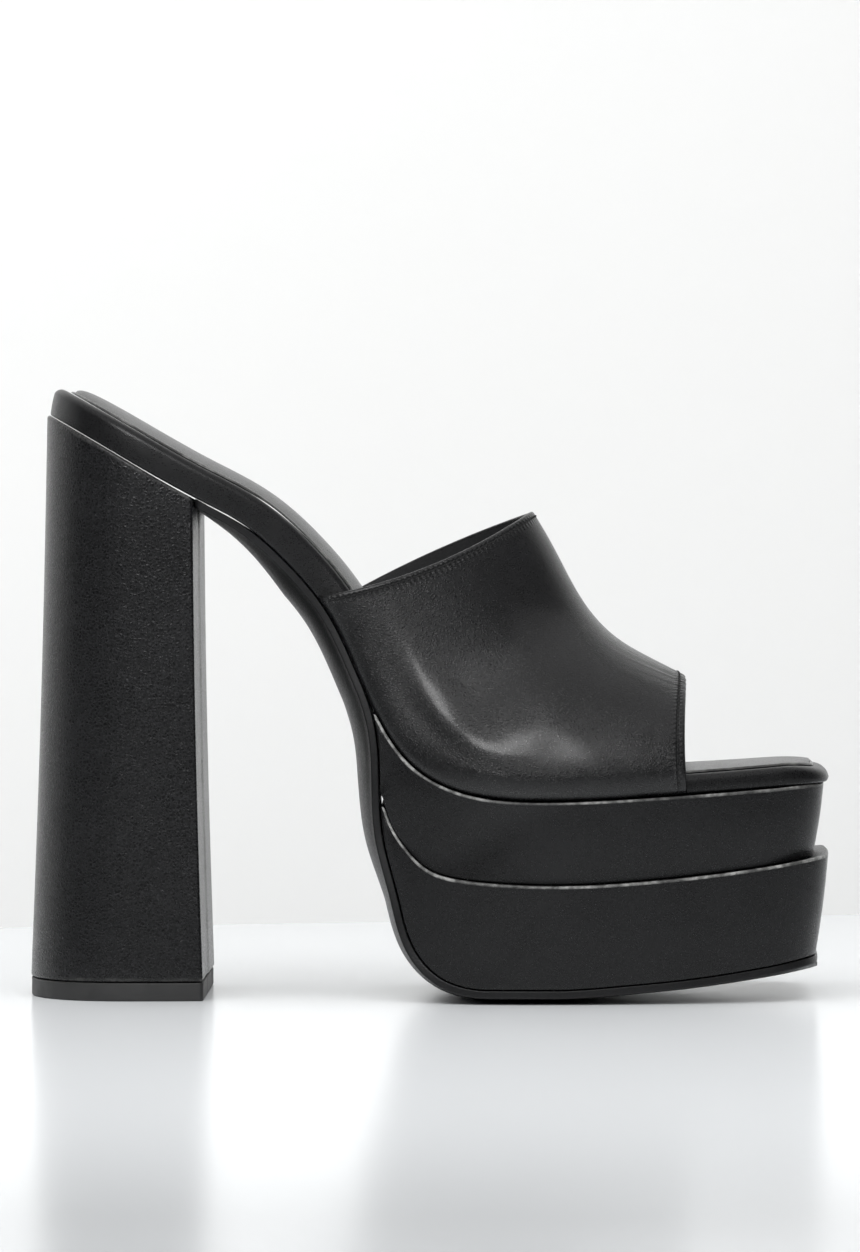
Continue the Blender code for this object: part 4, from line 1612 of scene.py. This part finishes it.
    @cached_property
    def outer(self) -> Array:
        """The outer surface with its creases."""
        return self.sheet + self.creases(self.sheet)[..., None] * self.normals(self.sheet)

    @staticmethod
    def normals(grid: Array) -> Array:
        """Unit normals of a grid, from the cross product of its two gradients."""
        return unit(np.cross(np.gradient(grid, axis=0), np.gradient(grid, axis=1)))

    @staticmethod
    def run(grid: Array, axis: int) -> Array:
        """Length run along an axis of a grid.

        Args:
            grid: the grid.
            axis: 0 down its rows, 1 along its columns.

        Returns:
            The length from the start to each point.
        """
        steps = np.linalg.norm(np.diff(grid, axis=axis), axis=-1)
        first = np.zeros_like(np.take(steps, [0], axis=axis))
        return np.concatenate([first, np.cumsum(steps, axis=axis)], axis=axis)

    def ridge(self, grid: Array) -> Array:
        """Height of the bend where the leather leaves the footbed's side on the lateral half.

        Above the bend the leather sinks by depth times t times e to the 1 less t, t being the run past the
        bend over its width. The bend lies close to the foot by the toe and climbs towards the waist.

        Args:
            grid: the outer surface.

        Returns:
            The height at each point.
        """
        up = self.run(grid, 1)
        ahead = np.linspace(0, 1, len(grid))
        shape = natural_spline([row.ahead for row in self.bend], self.bend, ahead)
        bend, depth = shape[:, 1:2], shape[:, 2:3]
        past = (up - bend) / self.ridge_width
        past = 0.5 * (past + np.sqrt(past**2 + 0.02))
        return -self.ridge_depth * depth * past * np.exp(1 - past)

    def creases(self, grid: Array) -> Array:
        """Height of the soft forms in the leather: drag lines from the toe edge and slow waves.

        Args:
            grid: the outer surface.

        Returns:
            The height at each point.
        """
        along = self.run(grid, 0)
        from_toe = along[-1:] - along
        round_toe = self.run(grid, 1)[-1:]
        share = round_toe / round_toe[:, -1:]
        lines = sum(
            d.strength * ripple(share, d.wave, d.seed) * bell(share, d.middle, d.reach) for d in self.drags
        )
        drag = lines * np.exp(-from_toe / self.drag_reach)
        soft = ripple(grid[..., 0] + 0.7 * grid[..., 2], self.soft_wave, 0.4)
        soft = soft * smooth_step(0.0, self.soft_fade, along)
        return self.drag_height * drag + self.soft_height * soft + self.ridge(grid)

    def build_band(self) -> bpy.types.Object:
        """The band: outer skin, lining, and a half circle as thick as the wall round both folded edges.

        Returns:
            The piece.
        """
        base, outer = self.sheet, self.outer
        normal = self.normals(base)
        radius = self.wall / 2
        along = self.run(outer, 0)
        throat, toe = along, along[-1:] - along
        around = self.run(outer, 1)
        keep = slice(self.fold_rows, -self.fold_rows)
        marks = {"throat_mm": throat / MM, "toe_mm": toe / MM, "round_mm": around / MM}
        skin = Skin(self.last)
        inner = base - self.wall * normal
        turn = np.linspace(0, math.pi, 9)[:, None, None]
        folds = []
        for edge, inside in ((0, self.fold_rows), (-1, -1 - self.fold_rows)):
            out = unit(outer[edge] - outer[inside])
            start = outer[edge] - radius * out
            fold = start - radius * (1 - np.cos(turn)) * normal[edge] + radius * np.sin(turn) * out
            folds.append(fold)
        outer_rows = np.vstack([folds[0][:1], outer[keep], folds[1][:1]])
        inner_rows = np.vstack([folds[0][-1:], inner[keep], folds[1][-1:]])
        ends = {key: np.vstack([mark[:1], mark[keep], mark[-1:]]) for key, mark in marks.items()}
        skin.add(outer_rows, 0, **ends)
        skin.add(inner_rows, 1)
        for edge, fold in zip((0, -1), folds):
            beside = {key: np.repeat(mark[edge][None], len(fold), axis=0) for key, mark in marks.items()}
            skin.add(fold, 0, **beside)
        for column in (0, -1):
            skin.add(np.stack([outer_rows[:, column], inner_rows[:, column]]), 0)
            for fold in folds:
                half = len(fold) // 2 + 1
                skin.add(np.stack([fold[:half, column], fold[: half - 2 : -1, column]]), 0)
        piece = skin.build("vamp_band", [self.finishes.vamp, self.finishes.lining], bend=False)
        return settle(piece, "cover", "upper")

    def stitch_line(self, from_throat: bool) -> tuple[Array, Array, Array]:
        """Where the stitches of one edge are.

        Args:
            from_throat: whether it is the throat's edge, and not the toe's.

        Returns:
            The places, directions and normals of the stitches.
        """
        outer = self.outer
        along = self.run(outer, 0)
        if not from_throat:
            outer, along = outer[::-1], (along[-1:] - along)[::-1]
        wanted = self.throat_line if from_throat else self.toe_line
        row = int(np.argmax(along[:, self.band_steps + 2] > wanted))
        share = (wanted - along[row - 1]) / (along[row] - along[row - 1])
        line = outer[row - 1] + share[:, None] * (outer[row] - outer[row - 1])
        normal = self.normals(outer)[row]
        normal = normal if normal[len(normal) // 2, 2] > 0 else -normal
        run = self.run(line[None], 1)[0]
        places = np.arange(self.stitch_start, run[-1] - self.stitch_start, self.pitch)
        point = np.stack([np.interp(places, run, line[:, k]) for k in range(3)], -1)
        ahead = unit(np.stack([np.interp(places + 2e-4, run, line[:, k]) for k in range(3)], -1) - point)
        up = unit(np.stack([np.interp(places, run, normal[:, k]) for k in range(3)], -1))
        return point, ahead, up

    def build_stitches(self, name: str, from_throat: bool) -> bpy.types.Object:
        """Stitches as small bowed beads: each dips into the leather at both of its ends.

        A bead's radius and its dip follow the fourth power of the place along it.

        Args:
            name: the piece's name.
            from_throat: whether they run along the throat, and not the toe.

        Returns:
            The piece.
        """
        point, ahead, up = self.stitch_line(from_throat)
        side = np.cross(up, ahead)
        u = np.linspace(-1, 1, 7)
        v = np.linspace(0, 2 * math.pi, 7)
        thick = (self.stitch_radius * np.sqrt(np.clip(1 - u**4, 0.02, 1)))[:, None, None]
        lift = (self.stitch_lift - self.stitch_dip * u**4)[:, None, None]
        reach = self.stitch_reach * self.pitch * u[:, None, None]
        point, ahead, up, side = (row[:, None, None] for row in (point, ahead, up, side))
        grid = point + reach * ahead
        grid = grid + (lift + thick * np.sin(v)[:, None]) * up
        grid = grid + thick * np.cos(v)[:, None] * side
        skin = Skin(self.last)
        for bead in grid:
            skin.add(bead)
            for end in (0, -1):
                centre = np.repeat(bead[end, :-1].mean(0)[None], bead.shape[1], axis=0)
                skin.add(np.stack([bead[end], centre]))
        return settle(skin.build(name, [self.finishes.thread], bend=False), "cover")


class SoftBox(NamedTuple):
    """A rectangular soft box: where it stands, what it faces, its width and height, and its radiance."""

    name: str
    place: tuple[float, float, float]
    aim: tuple[float, float, float]
    size: tuple[float, float]
    radiance: float
    use: Use


@dataclass(frozen=True)
class Studio:
    """Pale floor and wall, soft boxes and the camera of the photograph."""

    camera_distance: float = 1.270
    camera_height: float = 0.1018
    camera_x: float = -0.0007
    focal_px: float = 4572.0
    frame_px: float = 1252.0
    sensor: float = 36.0
    wall_y: float = 0.307
    wall_turn: float = 0.235
    reach: float = 5.0
    room_light: float = 0.05
    seen_light: float = 0.85
    floor_tone: tuple[float, float, float] = (0.68, 0.695, 0.71)
    wall_tone: tuple[float, float, float] = (0.76, 0.76, 0.752)
    boxes: Sequence[SoftBox] = (
        SoftBox("floor_light", (-0.1, -0.58, 1.2), (-0.1, -0.58, 0), (1.9, 1.8), 2.78, Use.LIGHTING),
        SoftBox("wall_light", (0, -0.35, 0.35), (0, wall_y, 0.10), (1.5, 0.4), 1.95, Use.LIGHTING),
        SoftBox("ceiling", (-0.1, 0.0, 1.6), (-0.1, 0.0, 0), (3.0, 2.4), 0.80, Use.REFLECTION),
        SoftBox("key", (-0.13, -0.93, 0.69), (0, 0, 0.06), (0.44, 0.26), 19.0, Use.REFLECTION),
        SoftBox("front", (0.0, -1.60, 0.25), (0, 0, 0.08), (0.9, 0.9), 0.10, Use.REFLECTION),
    )

    def build_camera(self) -> None:
        """A level camera that looks along +Y; its lens is the focal length over the frame's height."""
        data = bpy.data.cameras.new("camera")
        data.sensor_width = self.sensor
        data.lens = self.sensor * self.focal_px / self.frame_px
        data.clip_start, data.clip_end = 0.05, 50
        camera = bpy.data.objects.new("camera", data)
        camera.location = (self.camera_x, -self.camera_distance, self.camera_height)
        camera.rotation_euler = (math.pi / 2, 0, 0)
        bpy.context.scene.collection.objects.link(camera)
        bpy.context.scene.camera = camera
        bpy.context.scene.view_settings.view_transform = "Standard"

    def plain(
        self, name: str, tone: tuple[float, float, float], one_sided: bool, **sockets: float
    ) -> bpy.types.Material:
        """A plain paper or board, its tone clouded a little.

        Args:
            name: the finish's name.
            tone: its colour.
            one_sided: whether it is clear from behind, so that it hides nothing there.
            sockets: numbers for the shader's own sockets.

        Returns:
            The material.
        """
        graph = Graph.named(name)
        cloud = graph.noise(graph.place(), 300.0, 2.0)
        low = tuple(0.985 * c for c in tone) + (1.0,)
        graph.feed(graph.shader.inputs["Base Color"], graph.mix(cloud, low, tone + (1.0,)))
        graph.gloss(**sockets)
        if one_sided:
            behind = graph.value(graph.node("NewGeometry", {}, {}), "Backfacing")
            front = graph.value(graph.shader)
            clear = graph.value(graph.node("BsdfTransparent", {}, {}))
            mixed = graph.node("MixShader", {}, {0: behind, 1: front, 2: clear})
            graph.feed(graph.tree.nodes["Material Output"].inputs["Surface"], graph.value(mixed))
        return graph.owner

    def sheet(self, name: str, corners: Array, look: bpy.types.Material) -> None:
        """One large flat sheet of the room.

        Args:
            name: its name.
            corners: its four corners.
            look: its finish.
        """
        mesh = bpy.data.meshes.new(name)
        mesh.from_pydata(corners.tolist(), [], [(0, 1, 2, 3)])
        mesh.materials.append(look)
        made = bpy.data.objects.new(name, mesh)
        bpy.context.scene.collection.objects.link(made)

    def build_room(self) -> None:
        """The floor, and the wall, which stands a little turned behind the shoe."""
        reach = self.reach
        along = np.array([math.cos(self.wall_turn), math.sin(self.wall_turn), 0.0]) * reach
        back, up = np.array([0.0, self.wall_y, 0.0]), np.array([0.0, 0.0, reach])
        left, right = back - along, back + along
        ground = reach * np.array([[-1, -1, 0], [1, -1, 0], [1, 1, 0], [-1, 1, 0]])
        floor_look = self.plain("floor_board", self.floor_tone, False, roughness=0.2, ior=1.5)
        wall_look = self.plain("wall_paper", self.wall_tone, True, roughness=0.9)
        self.sheet("floor", ground, floor_look)
        self.sheet("wall", np.array([left, right, right + up, left + up]), wall_look)

    def soft_box(self, box: SoftBox) -> None:
        """Hangs one soft box, turned to face its aim. Its power is pi times its radiance and its area.

        Args:
            box: the soft box.
        """
        width, height = box.size
        data = bpy.data.lights.new(box.name, "AREA")
        data.shape, data.size, data.size_y = "RECTANGLE", width, height
        data.energy = math.pi * box.radiance * width * height
        light = bpy.data.objects.new(box.name, data)
        light.location = box.place
        towards = unit(np.subtract(box.aim, box.place))
        tilt = math.acos(float(-towards[2]))
        turn = math.atan2(float(-towards[0]), float(towards[1]))
        light.rotation_euler = (tilt, 0, turn)
        light.visible_glossy = box.use is Use.REFLECTION
        light.visible_diffuse = box.use is Use.LIGHTING
        light.visible_camera = False
        bpy.context.scene.collection.objects.link(light)

    def build_light(self) -> None:
        """Light for the floor and wall, shapes to be seen in the gloss, and a dim room with a pale view."""
        world = bpy.data.worlds.new("studio")
        graph = Graph(world)
        seen = graph.value(graph.node("LightPath", {}, {}), "Is Camera Ray")
        levels = {"Value": seen, "To Min": self.room_light, "To Max": self.seen_light}
        background = graph.tree.nodes["Background"]
        graph.feed(background.inputs["Strength"], graph.value(graph.node("MapRange", {}, levels)))
        graph.feed(background.inputs["Color"], (0.96, 0.98, 1.0, 1.0))
        bpy.context.scene.world = world
        for box in self.boxes:
            self.soft_box(box)


def main() -> None:
    """Builds every piece in the order in which a maker would, then the studio."""
    logging.basicConfig(level=logging.INFO, format="%(name)s %(message)s")
    for old in list(bpy.data.objects):
        bpy.data.objects.remove(old)
    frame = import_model()
    LOG.info("frame: %s", ", ".join(sorted(frame["nodes"])))
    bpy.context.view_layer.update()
    last, finishes = Last(), Finishes.make()
    heel = HeelBlock(last, finishes)
    heel.build_plate()
    heel.build_block()
    sole = Sole(last, finishes)
    sole.build_outsole()
    sole.build_lower_platform()
    sole.build_upper_platform()
    insole = Insole(last, finishes)
    insole.build_footbed()
    insole.build_sock()
    vamp = Vamp(last, finishes)
    vamp.build_band()
    vamp.build_stitches("throat_stitches", True)
    vamp.build_stitches("toe_stitches", False)
    studio = Studio()
    studio.build_room()
    studio.build_light()
    studio.build_camera()


if __name__ == "__main__":
    main()
